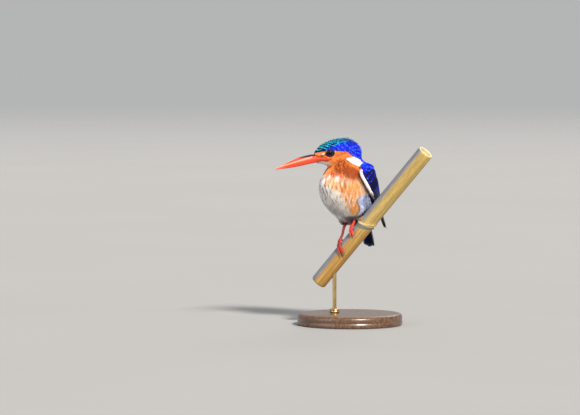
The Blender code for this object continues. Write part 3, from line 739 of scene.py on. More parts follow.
class Hide:
    """The finished skin's surface, for laying feathers on it."""

    def __init__(self, item):
        mesh = item.data
        self.places = places_of(mesh)
        self.normals = normals_of(mesh)
        self.tree = KDTree(len(self.places))
        for i, place in enumerate(self.places):
            self.tree.insert(place, i)
        self.tree.balance()
        mesh.calc_loop_triangles()
        count = len(mesh.loop_triangles)
        self.triangles = np.empty(count * 3, np.int32)
        mesh.loop_triangles.foreach_get("vertices", self.triangles)
        loops = np.empty(count * 3, np.int32)
        mesh.loop_triangles.foreach_get("loops", loops)
        uvs = np.empty(len(mesh.loops) * 2, np.float32)
        mesh.uv_layers[MAP].data.foreach_get("uv", uvs)
        self.triangles = self.triangles.reshape(-1, 3)
        self.uvs = uvs.reshape(-1, 2)[loops.reshape(-1, 3)]

    def scattered(self, draws, count):
        """Places, normals and map places spread evenly over the skin."""
        a, b, c = (self.places[self.triangles[:, i]] for i in range(3))
        area = np.linalg.norm(np.cross(b - a, c - a), axis=1)
        pick = draws.choice(len(area), size=count, p=area / area.sum())
        first, second = draws.random(count), draws.random(count)
        fold = first + second > 1.0
        first[fold], second[fold] = 1.0 - first[fold], 1.0 - second[fold]
        weights = np.column_stack([1.0 - first - second, first, second])
        corner = self.triangles[pick]
        return (
            np.einsum("nc,ncd->nd", weights, self.places[corner]),
            unit(np.einsum("nc,ncd->nd", weights, self.normals[corner])),
            np.einsum("nc,ncd->nd", weights, self.uvs[pick]),
        )

    def touched(self, points):
        """The nearest places on the skin and its normals there."""
        flat = points.reshape(-1, 3)
        nearest = np.array([self.tree.find(p)[1] for p in flat])
        normals = self.normals[nearest]
        above = np.einsum("nd,nd->n", flat - self.places[nearest], normals)
        return (flat - above[:, None] * normals).reshape(points.shape), normals.reshape(points.shape)


def make_skin():
    """One closed skin from the solids of head, neck and trunk, sunk by the depth of the coat."""
    work = bmesh.new()
    for node in ("head", "neck", "trunk"):
        work.from_mesh(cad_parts[node].data)
    bmesh.ops.remove_doubles(work, verts=work.verts, dist=1e-6)
    mesh = bpy.data.meshes.new("skin")
    work.to_mesh(mesh)
    work.free()
    skin = new_item("skin", mesh)
    seam = sizes().seam
    apply_modifier(skin, "swell", "DISPLACE", strength=seam, mid_level=0.0)
    apply_modifier(skin, "one_skin", "REMESH", mode="VOXEL", voxel_size=sizes().skin_voxel)
    apply_modifier(skin, "even", "SMOOTH", factor=0.5, iterations=6)
    places = places_of(skin.data)
    places -= normals_of(skin.data) * (seam / MM + coat_depth(places))[:, None]
    set_places(skin.data, places)
    apply_modifier(skin, "settle", "SMOOTH", factor=0.5, iterations=3)
    choose(skin)
    skin.data.uv_layers.new(name=MAP)
    bpy.ops.object.mode_set(mode="EDIT")
    bpy.ops.mesh.select_all(action="SELECT")
    bpy.ops.uv.smart_project(angle_limit=math.radians(70.0), island_margin=0.004)
    bpy.ops.object.mode_set(mode="OBJECT")
    colours, gloss = markings(places_of(skin.data))
    # painted shade: the skin is darker than the feathers where it shows between them
    point_attribute(skin.data, "plumage", colours * 0.7)
    point_attribute(skin.data, "gloss", gloss)
    finish = Finish("skin_finish")
    spots = finish.noise(finish.place(), 1500.0, 4.0)
    shade = spots.between(0.3, 0.75) * -0.35 + 1.05
    material = finish.feed(finish.plumage(shade), 0.75, spots, 0.0002)
    finish_piece(skin, "skin", "trunk", material, ("head", "neck", "trunk"))
    return skin


# ------------------------------------------------------------------------------------------ the feathers
class Bar:
    """A feather's blade, modelled once: its points as shares along, across and up, and its faces."""

    def __init__(self, corners, stations):
        """Corners are (across, up) round the section; stations are (along, width, thickness, sweep)."""
        item, level, number = extruded(len(corners), len(stations))
        face_outwards()
        corner, station = np.array(corners)[number], np.array(stations)[level]
        self.along = station[:, 0] + station[:, 3] * np.abs(corner[:, 0])
        self.across = corner[:, 0] * station[:, 1]
        self.up = corner[:, 1] * station[:, 2]
        faces = [list(face.vertices) for face in item.data.polygons]
        self.corners = np.concatenate(faces)
        self.totals = np.array([len(face) for face in faces])
        bpy.data.objects.remove(item)

    def at(self, values):
        """Values kept at even stations of each copy's path, read at the bar's own points."""
        last = values.shape[1] - 1
        place = np.clip(self.along, 0.0, 1.2) * last
        low = np.clip(place.astype(int), 0, last - 1)
        rest = (place - low)[None, :, None]
        return values[:, low] * (1.0 - rest) + values[:, low + 1] * rest

    def one(self, values):
        """The same for a single copy."""
        return self.at(values.reshape(1, len(values), -1))[0]

    def copies(self, name, places, uvs, lengths, widths, colours, gloss):
        """One mesh of all copies: places are (copies, points, 3)."""
        count, points = places.shape[:2]
        corners = (self.corners[None, :] + np.arange(count)[:, None] * points).ravel()
        mesh = new_mesh(name, places.reshape(-1, 3), corners, np.tile(self.totals, count))
        corner_map(mesh, uvs.reshape(-1, 2))
        point_attribute(mesh, "plumage", colours)
        point_attribute(mesh, "gloss", gloss)
        barbs = np.zeros((count, points, 3))
        barbs[:, :, 0] = self.across * widths[:, None]
        barbs[:, :, 1] = self.along * lengths[:, None]
        point_attribute(mesh, "barbs", barbs.reshape(-1, 3))
        return mesh


RIDGE = ((1.0, 0.0), (0.0, 1.0), (-1.0, 0.0))  # a section flat below and ridged above


def vane_bar():
    """A body feather's vane: flat below, ridged above, its barbs swept towards a blunt tip."""
    stations = (
        (0.0, 0.3, 0.8, 0.0), (0.16, 0.75, 1.0, 0.05), (0.38, 1.0, 1.0, 0.08), (0.6, 0.94, 0.9, 0.1),
        (0.78, 0.9, 0.7, 0.07), (0.9, 0.62, 0.5, 0.04), (1.0, 0.16, 0.25, 0.0),
    )
    return Bar(RIDGE, stations)


def soft_bar():
    """A soft contour feather: broad and flat, with a rounded loose end."""
    section = ((1.0, 0.0), (0.4, 0.8), (-0.4, 0.8), (-1.0, 0.0))
    stations = (
        (0.0, 0.5, 0.8, 0.0), (0.3, 0.95, 1.0, 0.05), (0.6, 1.0, 0.9, 0.06), (0.82, 0.8, 0.7, 0.04),
        (1.0, 0.3, 0.3, 0.0),
    )
    return Bar(section, stations)


def lock_bar():
    """A lock of loose barbs: narrow, widest near its middle and drawn out to a point."""
    stations = (
        (0.0, 0.4, 0.8, 0.0), (0.22, 0.95, 1.0, 0.0), (0.5, 1.0, 1.0, 0.0), (0.78, 0.66, 0.8, 0.0),
        (1.0, 0.07, 0.3, 0.0),
    )
    return Bar(RIDGE, stations)


def lie_of_coat(points, normals):
    """The way the feathers point: back from the bill over the head, then down the body to the tail."""
    head, body = seen_from(points, HEAD), seen_from(points, BODY)
    x, _, z = head.T
    fx, fy, fz = body.T
    ones = np.ones(len(points))
    down = 0.12 + 0.95 * rise(x, -7.0, -24.0) + 0.75 * rise(z, 0.0, -11.0)
    on_head = turned(unit(np.column_stack([-ones, 0.0 * ones, -down])), HEAD)
    flank = rise(np.abs(fy), 12.0, 15.0) * rise(fx, 6.0, 3.0) * rise(fz, 108.0, 103.0)
    back = 0.22 + 0.75 * rise(fz, 96.0, 80.0) + 0.45 * flank
    spread = 0.012 * fy * rise(fz, 100.0, 118.0)
    on_body = turned(unit(np.column_stack([-back, spread, -ones])), BODY)
    way = mix(on_body, on_head, rise(fz, 116.0, 127.0))
    way = way - np.einsum("nd,nd->n", way, normals)[:, None] * normals
    return unit(way)


def coat_plan(points):
    """Length, half width, spacing, fan and kind of the feathers rooted at these places."""
    head, body = seen_from(points, HEAD), seen_from(points, BODY)
    x, _, z = head.T
    fx, fy, fz = body.T
    on_head = rise(fz, 116.0, 123.0)
    nape = rise(fx, 0.5, -1.5) * rise(fz, 118.0, 121.0)
    cap = np.maximum(rise(above_cap_edge(x, z), -0.3, 0.3) * on_head, nape)
    crest = cap * rise(x, -5.0, -17.0) * rise(z, -7.0, -1.0)
    back = rise(fx, -5.0, -8.0) * (1.0 - on_head)
    flank = rise(np.abs(fy), 12.5, 14.5) * rise(fx, 7.0, 5.0) * rise(fz, 105.0, 102.0) * (1.0 - back)
    belly = rise(fz, 104.0, 94.0) * (1.0 - back)
    face = on_head * np.maximum(rise(off_eye(head), 6.5, 3.2), rise(x, 1.5, 7.5))
    thigh = np.zeros(len(points))
    for middle in THIGHS:
        thigh = np.maximum(thigh, rise(away_from(body, middle), 10.0, 7.0))

    def plan(trunk, *others):
        value = np.full(len(points), trunk)
        for other, amount in zip(others, (belly, back, flank, thigh, on_head, cap, crest, face)):
            value = mix(value, other, amount)
        return value

    return {
        "length": plan(4.6, 6.0, 4.2, 6.5, 3.2, 2.5, 2.4, 5.2, 1.1),
        "half": plan(0.15, 0.17, 0.66, 0.85, 0.15, 0.14, 0.44, 0.42, 0.12),
        "spacing": plan(0.78, 0.86, 0.76, 1.0, 0.62, 0.52, 0.54, 0.62, 0.37),
        "fan": plan(15.0, 15.0, 8.0, 5.0, 14.0, 13.0, 7.0, 6.0, 9.0),
        "vane": np.maximum(np.maximum(cap, back), flank) > 0.5,
    }


def thinned(places, gaps):
    """Which of the places to keep, so that none is nearer than its gap to one kept before."""
    cell = gaps.max()
    grid = {}
    kept = []
    near = [(i, j, k) for i in (-1, 0, 1) for j in (-1, 0, 1) for k in (-1, 0, 1)]
    keys = np.floor(places / cell).astype(int).tolist()
    for number, ((x, y, z), (i, j, k), gap) in enumerate(zip(places.tolist(), keys, gaps.tolist())):
        limit = gap * gap
        crowded = any(
            (x - u) ** 2 + (y - v) ** 2 + (z - w) ** 2 < limit
            for a, b, c in near
            for u, v, w in grid.get((i + a, j + b, k + c), ())
        )
        if not crowded:
            grid.setdefault((i, j, k), []).append((x, y, z))
            kept.append(number)
    return np.array(kept)


def solid_tree(*nodes):
    """A search tree of CAD nodes, in millimetres."""
    corners, faces = [], []
    for node in nodes:
        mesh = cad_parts[node].data
        faces += [[v + len(corners) for v in face.vertices] for face in mesh.polygons]
        corners += [v.co / MM for v in mesh.vertices]
    return BVHTree.FromPolygons(corners, faces)


def uncovered(places, normals):
    """Which places aren't close under a wing, the bill, an eye, the tail, a shin or the reed."""
    covers = (
        (solid_tree("wing_left", "wing_right"), 3.6),
        (solid_tree("bill_upper", "bill_lower", "tail", "leg_left", "leg_right"), 2.2),
        (solid_tree("eye_left", "eye_right"), 1.3),
        (solid_tree("perch_reed"), 1.1),
    )
    free = []
    for place, normal in zip(places, normals):
        start = Vector(place - 0.1 * normal)
        free.append(all(tree.ray_cast(start, normal, reach)[0] is None for tree, reach in covers))
    return np.array(free)


def reed_axes():
    """The reed's direction, its upper side and its front side."""
    ahead, height, level = math.cos(REED_SLOPE), math.sin(REED_SLOPE), math.cos(REED_LEAN)
    along = Vector((ahead * level, -math.sin(REED_LEAN), height * level))
    upper = Vector((-height, 0.0, ahead))
    upper = (upper - along * upper.dot(along)).normalized()
    return along, upper, along.cross(upper).normalized()


def on_reed(distance, angle, radius):
    """A point at this distance from the reed's joint, angle round it in degrees and radius from its axis."""
    along, upper, front = reed_axes()
    turn = math.radians(angle)
    out = upper * math.cos(turn) + front * math.sin(turn)
    return Vector(REED_JOINT) + along * distance + out * radius


def clear_of_reed(points):
    """Moves points that would be in the reed out to just over its surface."""
    along = np.array(reed_axes()[0])
    out = points - np.array(REED_JOINT)
    distance = out @ along
    beside = out - distance[..., None] * along
    radius = np.linalg.norm(beside, axis=-1)
    bulge = REED_RADIUS + REED_ROOM + 0.5 * np.exp(-((distance / 4.0) ** 2))
    push = np.maximum(bulge - radius, 0.0)
    return points + beside / np.maximum(radius, 1e-6)[..., None] * push[..., None]


def lay(hide, bar, roots, normals, uvs, lengths, halves, leans, lifts, depths, name, finish):
    """Lays a copy of the bar from each root along the lie of the coat, and makes them one mesh."""
    path, ups, sides = [roots], [normals], []
    way = lie_of_coat(roots, normals)
    place, normal = roots, normals
    for _ in range(LAY_STEPS):
        side = np.cross(normal, way)
        sides.append(side)
        course = unit(way * np.cos(leans)[:, None] + side * np.sin(leans)[:, None])
        place, normal = hide.touched(place + course * (lengths / LAY_STEPS)[:, None])
        way = lie_of_coat(place, normal)
        path.append(place)
        ups.append(normal)
    sides.append(np.cross(normal, way))
    path, ups, sides = (np.stack(rows, axis=1) for rows in (path, ups, sides))
    shares = np.linspace(0.0, 1.0, LAY_STEPS + 1)
    height = 0.06 + depths[:, None] * (0.1 + 0.8 * shares) + lifts[:, None] * shares**2
    path = path + ups * height[:, :, None]
    thickness = sizes().vane_thickness / MM
    across = (bar.across[None, :] * halves[:, None])[:, :, None]
    upwards = unit(bar.at(ups))
    places = bar.at(path) + unit(bar.at(sides)) * across + upwards * (bar.up * thickness)[None, :, None]
    droop = (np.abs(bar.across)[None, :] ** 2 * halves[:, None] * 0.12)[:, :, None]
    places = clear_of_reed(places - upwards * droop)
    count, points = places.shape[:2]
    draws = np.random.default_rng(len(roots))
    own = draws.normal(size=count)
    lean = np.repeat(np.clip(own, -1.6, 1.6) / 1.6, points)
    colours, gloss = markings(places.reshape(-1, 3), lean)
    # darker towards the roots: partly the feathers' grey down, partly painted shade between them
    fade = np.tile(rise(bar.along, -0.15, 0.55), count)
    colours = mix(colours * np.array((0.74, 0.74, 0.78)), colours, fade)
    spots = uvs[:, None, :] + np.stack(
        [bar.across * PATCH * 0.45, (np.clip(bar.along, 0, 1) - 0.5) * PATCH * 0.9], axis=-1
    )
    item = new_item(name, bar.copies(name, places, spots, lengths, halves, colours, gloss))
    finish_piece(item, name, "head" if name in HEAD_COATS else "trunk", finish, sharp=True)


def make_coat(skin):
    """Scatters the roots, plans each feather by its place, and lays the coat in pieces."""
    hide = Hide(skin)
    draws = np.random.default_rng(2024)
    places, normals, uvs = hide.scattered(draws, ROOTS)
    plan = coat_plan(places)
    kept = thinned(places, plan["spacing"])
    kept = kept[uncovered(places[kept], normals[kept])]
    places, normals, uvs = places[kept], normals[kept], uvs[kept]
    plan = {key: values[kept] for key, values in plan.items()}
    head, body = seen_from(places, HEAD), seen_from(places, BODY)
    on_head = body[:, 2] > HEAD_HEIGHT
    vanes, locks, softs = vane_bar(), lock_bar(), soft_bar()
    finish = feather_finish("feather_finish", 0.7, 0.44, 0.14)
    loose = ~plan["vane"]
    high = body[:, 2] > BREAST_HEIGHT
    wide = np.zeros(len(places), bool)
    wide[thinned(places, SOFT_SPACING * plan["spacing"])] = True
    # piece: which roots, the blade, how many at each root
    regions = {
        "coat_crown": (on_head & plan["vane"], vanes, 1),
        "coat_back": (~on_head & plan["vane"], vanes, 1),
        "coat_cheek_vanes": (on_head & loose & wide, softs, 1),
        "coat_breast_vanes": (~on_head & loose & wide & high, softs, 1),
        "coat_belly_vanes": (~on_head & loose & wide & ~high, softs, 1),
        "coat_cheeks": (on_head & loose, locks, 4),
        "coat_breast": (~on_head & loose & high, locks, 6),
        "coat_belly_left": (~on_head & loose & ~high & (body[:, 1] > 0), locks, 6),
        "coat_belly_right": (~on_head & loose & ~high & (body[:, 1] <= 0), locks, 6),
    }
    for name, (chosen, bar, blades) in regions.items():
        rows = np.repeat(np.flatnonzero(chosen), blades)
        count = len(rows)
        order = np.tile(np.arange(blades), count // blades) - (blades - 1) / 2
        fan = np.radians(plan["fan"][rows])
        leans = 0.16 * ripple(places[rows], 5.0, 21) + fan * (order * 0.6 + 0.35 * draws.normal(size=count))
        lengths = plan["length"][rows] * draws.uniform(0.78, 1.15, count)
        halves = plan["half"][rows] * draws.uniform(0.8, 1.15, count)
        depths = coat_depth(places[rows]) * draws.uniform(0.75, 1.1, count)
        lifts = 0.1 * np.abs(draws.normal(size=count)) * np.minimum(lengths / 3.0, 1.2)
        if bar is softs:
            halves, lengths = SOFT_WIDTH * halves, 0.95 * lengths
            depths, lifts = 0.5 * depths, 0.0 * lifts
        crest = rise(head[rows][:, 0], -6.0, -14.0) * rise(head[rows][:, 2], -3.0, 2.0)
        lifts = lifts + crest * draws.uniform(0.2, 1.7, count) * on_head[rows]
        depths = mix(depths, 0.35, rise(off_eye(head[rows]), 5.0, 2.5))
        shift = draws.normal(size=(count, 3)) * (0.3 * plan["spacing"][rows] * (blades > 1))[:, None]
        starts, ups = hide.touched(places[rows] + shift)
        lay(hide, bar, starts, ups, uvs[rows], lengths, halves, leans, lifts, depths, name, finish)


# ------------------------------------------------------------------------------------------ wings and tail
def wing_rows(along):
    """The wing's outline at shares of its length: leading x and height, rear x and height, thickness."""
    table = between(WING_OUTLINE, 6)
    at = np.linspace(0.0, 1.0, len(table))
    before = np.minimum(along, 0.0) / at[2]
    return [np.interp(along, at, column) + before * (column[2] - column[0]) for column in table.T]


def oval_at(heights):
    at, half, back = np.array(WING_OVAL).T
    return np.interp(heights, at, half), np.interp(heights, at, back)


def on_oval(points, lift):
    """Points of the body's frame moved onto the wing's oval, and then outwards by the lift."""
    half, back = oval_at(points[..., 2])
    reach = np.where(points[..., 0] > 0, WING_FRONT, back)
    scale = np.maximum(np.hypot(points[..., 0] / reach, points[..., 1] / half), 1e-6)
    x, y = points[..., 0] / scale, points[..., 1] / scale
    out = unit(np.stack([x / reach**2, y / half**2, np.zeros_like(x)], axis=-1))
    return np.stack([x, y, points[..., 2]], axis=-1) + out * lift[..., None], out


def wing_point(side, along, across, lift):
    """A place on the folded wing: along from shoulder to tip, across from the leading to the rear edge.

    The lift is from the wing's outer surface, and less near the wing's edges, where it is thin."""
    lead_x, lead_z, rear_x, rear_z, thick = wing_rows(along)
    if side < 0:
        tuck = 0.34 * rise(along, 0.6, 0.3) + 0.2 * rise(along, 0.3, 0.08)
        shift = 6.5 * rise(along, 0.18, 0.02)
        lead_x = lead_x - tuck * (lead_x - rear_x) - shift
        rear_x = rear_x - shift
    x = lead_x + (rear_x - lead_x) * across
    height = lead_z + (rear_z - lead_z) * across
    half, back = oval_at(height)
    reach = np.where(x > 0, WING_FRONT, back)
    turn = np.arcsin(np.clip(x / reach, -0.985, 0.985))
    flat = np.stack([x, side * half * np.cos(turn), height], axis=-1)
    inside = np.clip(across, 0.0, 1.0)
    body = np.maximum(thick, 0.6) / 3.8 * (0.35 + 0.65 * np.sin(math.pi * inside) ** 0.6)
    return on_oval(flat, lift * np.where(lift < 0, body, 1.0) + tip_twist(along, across))


def tip_twist(along, across):
    """The wing's tip lies flatter over the tail: its leading edge turns outwards, its rear edge inwards."""
    return 3.6 * (0.5 - across) * rise(along, 0.7, 0.97)


def wing_bed(word, side, material):
    """The flesh and hidden feathers under the quills: a shell inside the wing's own solid."""
    rings = []
    across = np.linspace(0.04, 0.96, 15)
    for along in np.linspace(0.0, 0.985, 44):
        row = np.full_like(across, along)
        inset = 0.5 + (across - 0.5) * rise(along, 1.02, 0.8)
        outer, out = wing_point(side, row, inset, np.full_like(across, -2.1))
        inner, _ = wing_point(side, row, inset, np.full_like(across, -3.4))
        sunk = out * 0.95 * rise(along, 0.6, 0.84)
        outer, inner = outer - sunk, inner - sunk
        rings.append(placed(np.vstack([outer, inner[::-1]]), BODY))
    item = loft("wing_bed", rings)
    count = len(item.data.vertices)
    body = seen_from(places_of(item.data), BODY)
    # the wing's lining is buff-orange, darkened as painted shade
    shaded_lining = rise(body[:, 0], -4.0, 1.0) * rise(body[:, 2], 92.0, 97.0)
    tones = mix(filled(tone("ink") * 1.5, count), tone("orange") * (0.3, 0.26, 0.25), shaded_lining)
    tones = mix(tones, tone("ultramarine"), rise(body[:, 2], 118.5, 121.0))
    point_attribute(item.data, "plumage", tones)
    point_attribute(item.data, "gloss", np.full(count, 0.3))
    point_attribute(item.data, "barbs", places_of(item.data))
    finish_piece(item, "wing_bed_" + word, "wing", material, ("wing_" + word,))


# Rows of feathers on the folded wing, from the lowest: kind, how many, (along, across) of the first base and
# of the last, of the first tip and of the last, half widths of first and last, lifts of base and tip
QUILLS = (
    ("primary", 10, (0.14, 0.06), (0.20, 0.46), (1.0, 0.4), (0.78, 0.90), (2.5, 2.3), (-1.75, -1.1)),
    ("secondary", 11, (0.20, 0.42), (0.12, 0.88), (0.75, 0.84), (0.60, 1.0), (1.9, 2.3), (-1.5, -0.75)),
    ("tertial", 4, (0.16, 0.70), (0.15, 0.80), (0.62, 0.9), (0.44, 0.94), (2.1, 2.1), (-1.2, -0.3)),
    ("greater", 17, (0.20, 0.05), (0.10, 0.96), (0.47, 0.04), (0.36, 0.93), (1.25, 1.3), (-1.4, -0.42)),
    ("median", 17, (0.13, 0.05), (0.05, 0.98), (0.335, 0.04), (0.25, 1.0), (1.15, 1.2), (-1.1, -0.12)),
    ("lesser", 15, (0.12, 0.05), (0.04, 0.98), (0.27, 0.04), (0.19, 1.0), (1.05, 1.1), (-0.8, 0.02)),
    ("lesser", 14, (0.08, 0.06), (0.0, 0.98), (0.215, 0.04), (0.14, 1.0), (1.0, 1.05), (-0.6, 0.12)),
    ("lesser", 13, (0.04, 0.06), (-0.03, 0.98), (0.165, 0.04), (0.1, 1.0), (0.95, 1.0), (-0.5, 0.2)),
    ("lesser", 12, (0.0, 0.08), (-0.06, 0.98), (0.12, 0.04), (0.06, 1.0), (0.9, 0.95), (-0.4, 0.26)),
    ("lesser", 11, (-0.04, 0.1), (-0.09, 0.95), (0.075, 0.06), (0.03, 0.98), (0.85, 0.9), (-0.4, 0.3)),
    ("mantle", 12, (-0.1, 0.98), (0.22, 1.0), (0.06, 0.98), (0.36, 1.01), (1.1, 1.1), (-0.5, 0.05)),
    ("mantle", 12, (-0.12, 0.86), (0.26, 0.98), (0.04, 0.86), (0.40, 0.98), (1.1, 1.1), (-0.4, 0.2)),
    ("mantle", 9, (-0.14, 0.6), (0.14, 0.9), (0.03, 0.62), (0.32, 0.92), (1.15, 1.15), (-0.2, 0.36)),
    ("mantle", 8, (-0.16, 0.1), (-0.12, 0.8), (0.01, 0.12), (0.05, 0.84), (1.1, 1.1), (-0.2, 0.4)),
    ("scapular", 14, (0.0, 1.1), (0.48, 1.1), (0.1, 1.06), (0.58, 1.06), (1.25, 1.3), (-3.0, 0.0)),
    ("scapular", 14, (-0.03, 1.07), (0.46, 1.08), (0.07, 1.02), (0.56, 1.02), (1.25, 1.3), (-2.4, 0.25)),
    ("scapular", 13, (-0.07, 1.03), (0.38, 1.05), (0.03, 0.97), (0.48, 0.98), (1.2, 1.2), (-1.8, 0.45)),
)
ROLL = 0.07  # how far each feather leans onto its outer neighbour


def quill_bar(blunt=0.6):
    """A flight feather's vane: thin edges, a raised shaft and a rounded tip."""
    section = (
        (1.0, -0.2), (0.45, 0.75), (0.08, 0.95), (0.0, 1.5), (-0.08, 0.95), (-0.45, 0.75), (-1.0, -0.2),
        (0.0, -0.5),
    )
    stations = [(0.0, 0.25, 0.8, 0.0), (0.06, 0.6, 1.0, 0.01), (0.15, 0.85, 1.0, 0.01)]
    stations += [(share, 1.0, 1.0, 0.012) for share in (0.28, 0.42, 0.56, 0.68, 0.78)]
    for share in (0.85, 0.9, 0.94, 0.97, 0.99, 1.0):
        fall = (share - 0.78) / 0.22
        stations.append((share, max(0.1, (1.0 - fall**2.4) ** blunt), 1.0 - 0.6 * fall, 0.0))
    return Bar(section, stations)


def wing_vane(side, bar, base, tip, bend, half, lifts, step=0.0):
    """One feather on the wing's oval, from (along, across) at its base to the same at its tip."""
    shares = np.linspace(0.0, 1.0, 16)
    along = base[0] + (tip[0] - base[0]) * shares
    across = base[1] + (tip[1] - base[1]) * shares**bend
    path, out = wing_point(side, along, across, np.zeros_like(along))
    long = np.linalg.norm(np.diff(path, axis=0), axis=1).sum()
    way = unit(np.gradient(path, axis=0))
    beside = unit(np.cross(way, out)) * side
    across_mm = bar.across * half
    centre = bar.one(path) + unit(bar.one(beside)) * across_mm[:, None]
    place = bar.one(across)[:, 0]
    edge = 0.35 + 0.65 * np.sin(math.pi * np.clip(place, 0.03, 0.97)) ** 0.6
    lift = lifts[0] + (lifts[1] - lifts[0] + step) * np.minimum(bar.along, 1.0)
    lift = np.where(lift < 0, lift * edge, lift) + ROLL * across_mm - 0.02 * across_mm**2 + bar.up * 0.09
    lift = lift - 80.0 * np.maximum(place - 0.94, 0.0) ** 2
    lift = lift + tip_twist(bar.one(along)[:, 0], place)
    return on_oval(centre, lift)[0], long


def wing_feathers(word, side, material):
    """Every quill and covert of one folded wing, from the lowest layer to the highest."""
    bar, soft = quill_bar(), quill_bar(0.8)
    draws = np.random.default_rng(77)
    for piece, kinds, blade in (
        ("wing_quills_" + word, ("primary", "secondary", "tertial"), bar),
        ("wing_coverts_" + word, ("greater", "median", "lesser", "mantle", "scapular"), soft),
    ):
        feathers = Feathers(blade)
        for kind, count, base_a, base_b, tip_a, tip_b, widths, lifts in QUILLS:
            for i in range(count if kind in kinds else 0):
                t = i / (count - 1)
                base = np.array(base_a) * (1 - t) + np.array(base_b) * t
                tip = np.array(tip_a) * (1 - t) + np.array(tip_b) * t
                tip = tip + draws.normal(size=2) * ((0.006, 0.008) if tip[0] < 0.9 else (0.004, 0.0))
                half = (widths[0] * (1 - t) + widths[1] * t) * draws.uniform(0.92, 1.08)
                bend = 2.6 if kind == "primary" else 1.4
                spot, long = wing_vane(side, blade, base, tip, bend, half, lifts, 0.07 * i * (blade is bar))
                feathers.add(spot, long, half, wing_tones(kind, t, blade, base[0], half, long, draws))
        feathers.piece(piece, 0.6, material)


class Feathers:
    """Feathers of one blade, added one after another and then made one piece."""

    def __init__(self, bar):
        self.bar = bar
        self.rows = []

    def add(self, place, length, half, tones):
        """Adds a feather: its points in the body's frame, its length, half width and tones."""
        self.rows.append((placed(place, BODY), length, half, tones))

    def piece(self, name, gloss, material, slot="wing", replaces=()):
        """Makes one mesh of them all."""
        places, lengths, halves, tones = (np.array(column) for column in zip(*self.rows))
        spots = atlas(self.bar, len(places))
        gloss = np.full(places.size // 3, gloss)
        mesh = self.bar.copies(name, places, spots, lengths, halves, tones.reshape(-1, 3), gloss)
        finish_piece(new_item(name, mesh), name, slot, material, replaces, sharp=True)


def atlas(bar, count):
    """A map place for each point, with every feather in a cell of its own."""
    columns = math.ceil(math.sqrt(count * 4.0))
    rows = math.ceil(count / columns)
    number = np.arange(count)
    cell = np.array((1.0 / columns, 1.0 / rows))
    corner = np.column_stack([number % columns, number // columns]) * cell
    inside = np.stack([0.5 + 0.42 * bar.across, 0.06 + 0.86 * np.clip(bar.along, 0, 1.02)], axis=-1)
    return corner[:, None, :] + inside[None] * cell


def wing_tones(kind, t, bar, start, half, long, draws):
    """The colours of one wing feather, from its base to its tip."""
    along, across = np.clip(bar.along, 0, 1), bar.across
    ink = tone("ink") * draws.uniform(0.8, 1.8)
    made = filled(ink, len(along))
    if kind == "primary":
        # painted sheen: grey-blue on the outer edges of the blackish primaries
        edge = rise(across, 0.3, 0.7) * rise(along, 0.97, 0.8)
        return mix(made, mix(tone("grey"), tone("ink"), 0.2), edge * (0.95 if t < 0.5 else 0.45))
    if kind in ("secondary", "tertial"):
        edge = rise(across, 0.4, 0.8) * rise(along, 1.0, 0.85)
        return mix(made, mix(tone("ultramarine"), tone("violet"), 0.5) * 0.8, edge * 0.8)
    if kind == "scapular":
        hue = mix(tone("ultramarine"), tone("azure"), draws.uniform(0.0, 0.8) ** 2)
        rim = np.maximum(rise(np.abs(across), 0.6, 1.0), rise(along, 0.9, 1.0))
        return mix(filled(hue, len(along)), tone("ink"), rim * 0.3)
    if kind == "mantle":
        hue = mix(tone("ultramarine"), tone("azure"), draws.uniform(0.0, 0.75) ** 2)
        blue = np.maximum(rise(along, 0.2, 0.5), rise(start, 0.05, -0.05))
        return mix(made, hue, blue * (0.95 if draws.random() < 0.85 else 0.5))
    hue = mix(tone("ultramarine"), tone("violet"), draws.random())
    hue = mix(hue, tone("azure"), 0.7 if draws.random() < 0.15 else 0.0)
    size = draws.uniform(0.45, 0.9) if kind != "greater" else draws.uniform(0.4, 0.75)
    from_tip = (1.0 - along) * long - 0.45
    spot = np.hypot(across * half / size, from_tip / (size * 0.95))
    made = mix(made, hue, rise(spot, 1.2, 0.75) * (0.95 if draws.random() < 0.8 else 0.15))
    made = mix(made, hue, 0.85 * rise(start, 0.04, -0.04) * rise(along, 0.9, 0.7))
    made = mix(made, tone("ultramarine"), 0.9 if t > 0.9 else 0.0)
    return mix(made, tone("ultramarine") * 0.5, rise(np.abs(across), 0.6, 0.95) * 0.35)


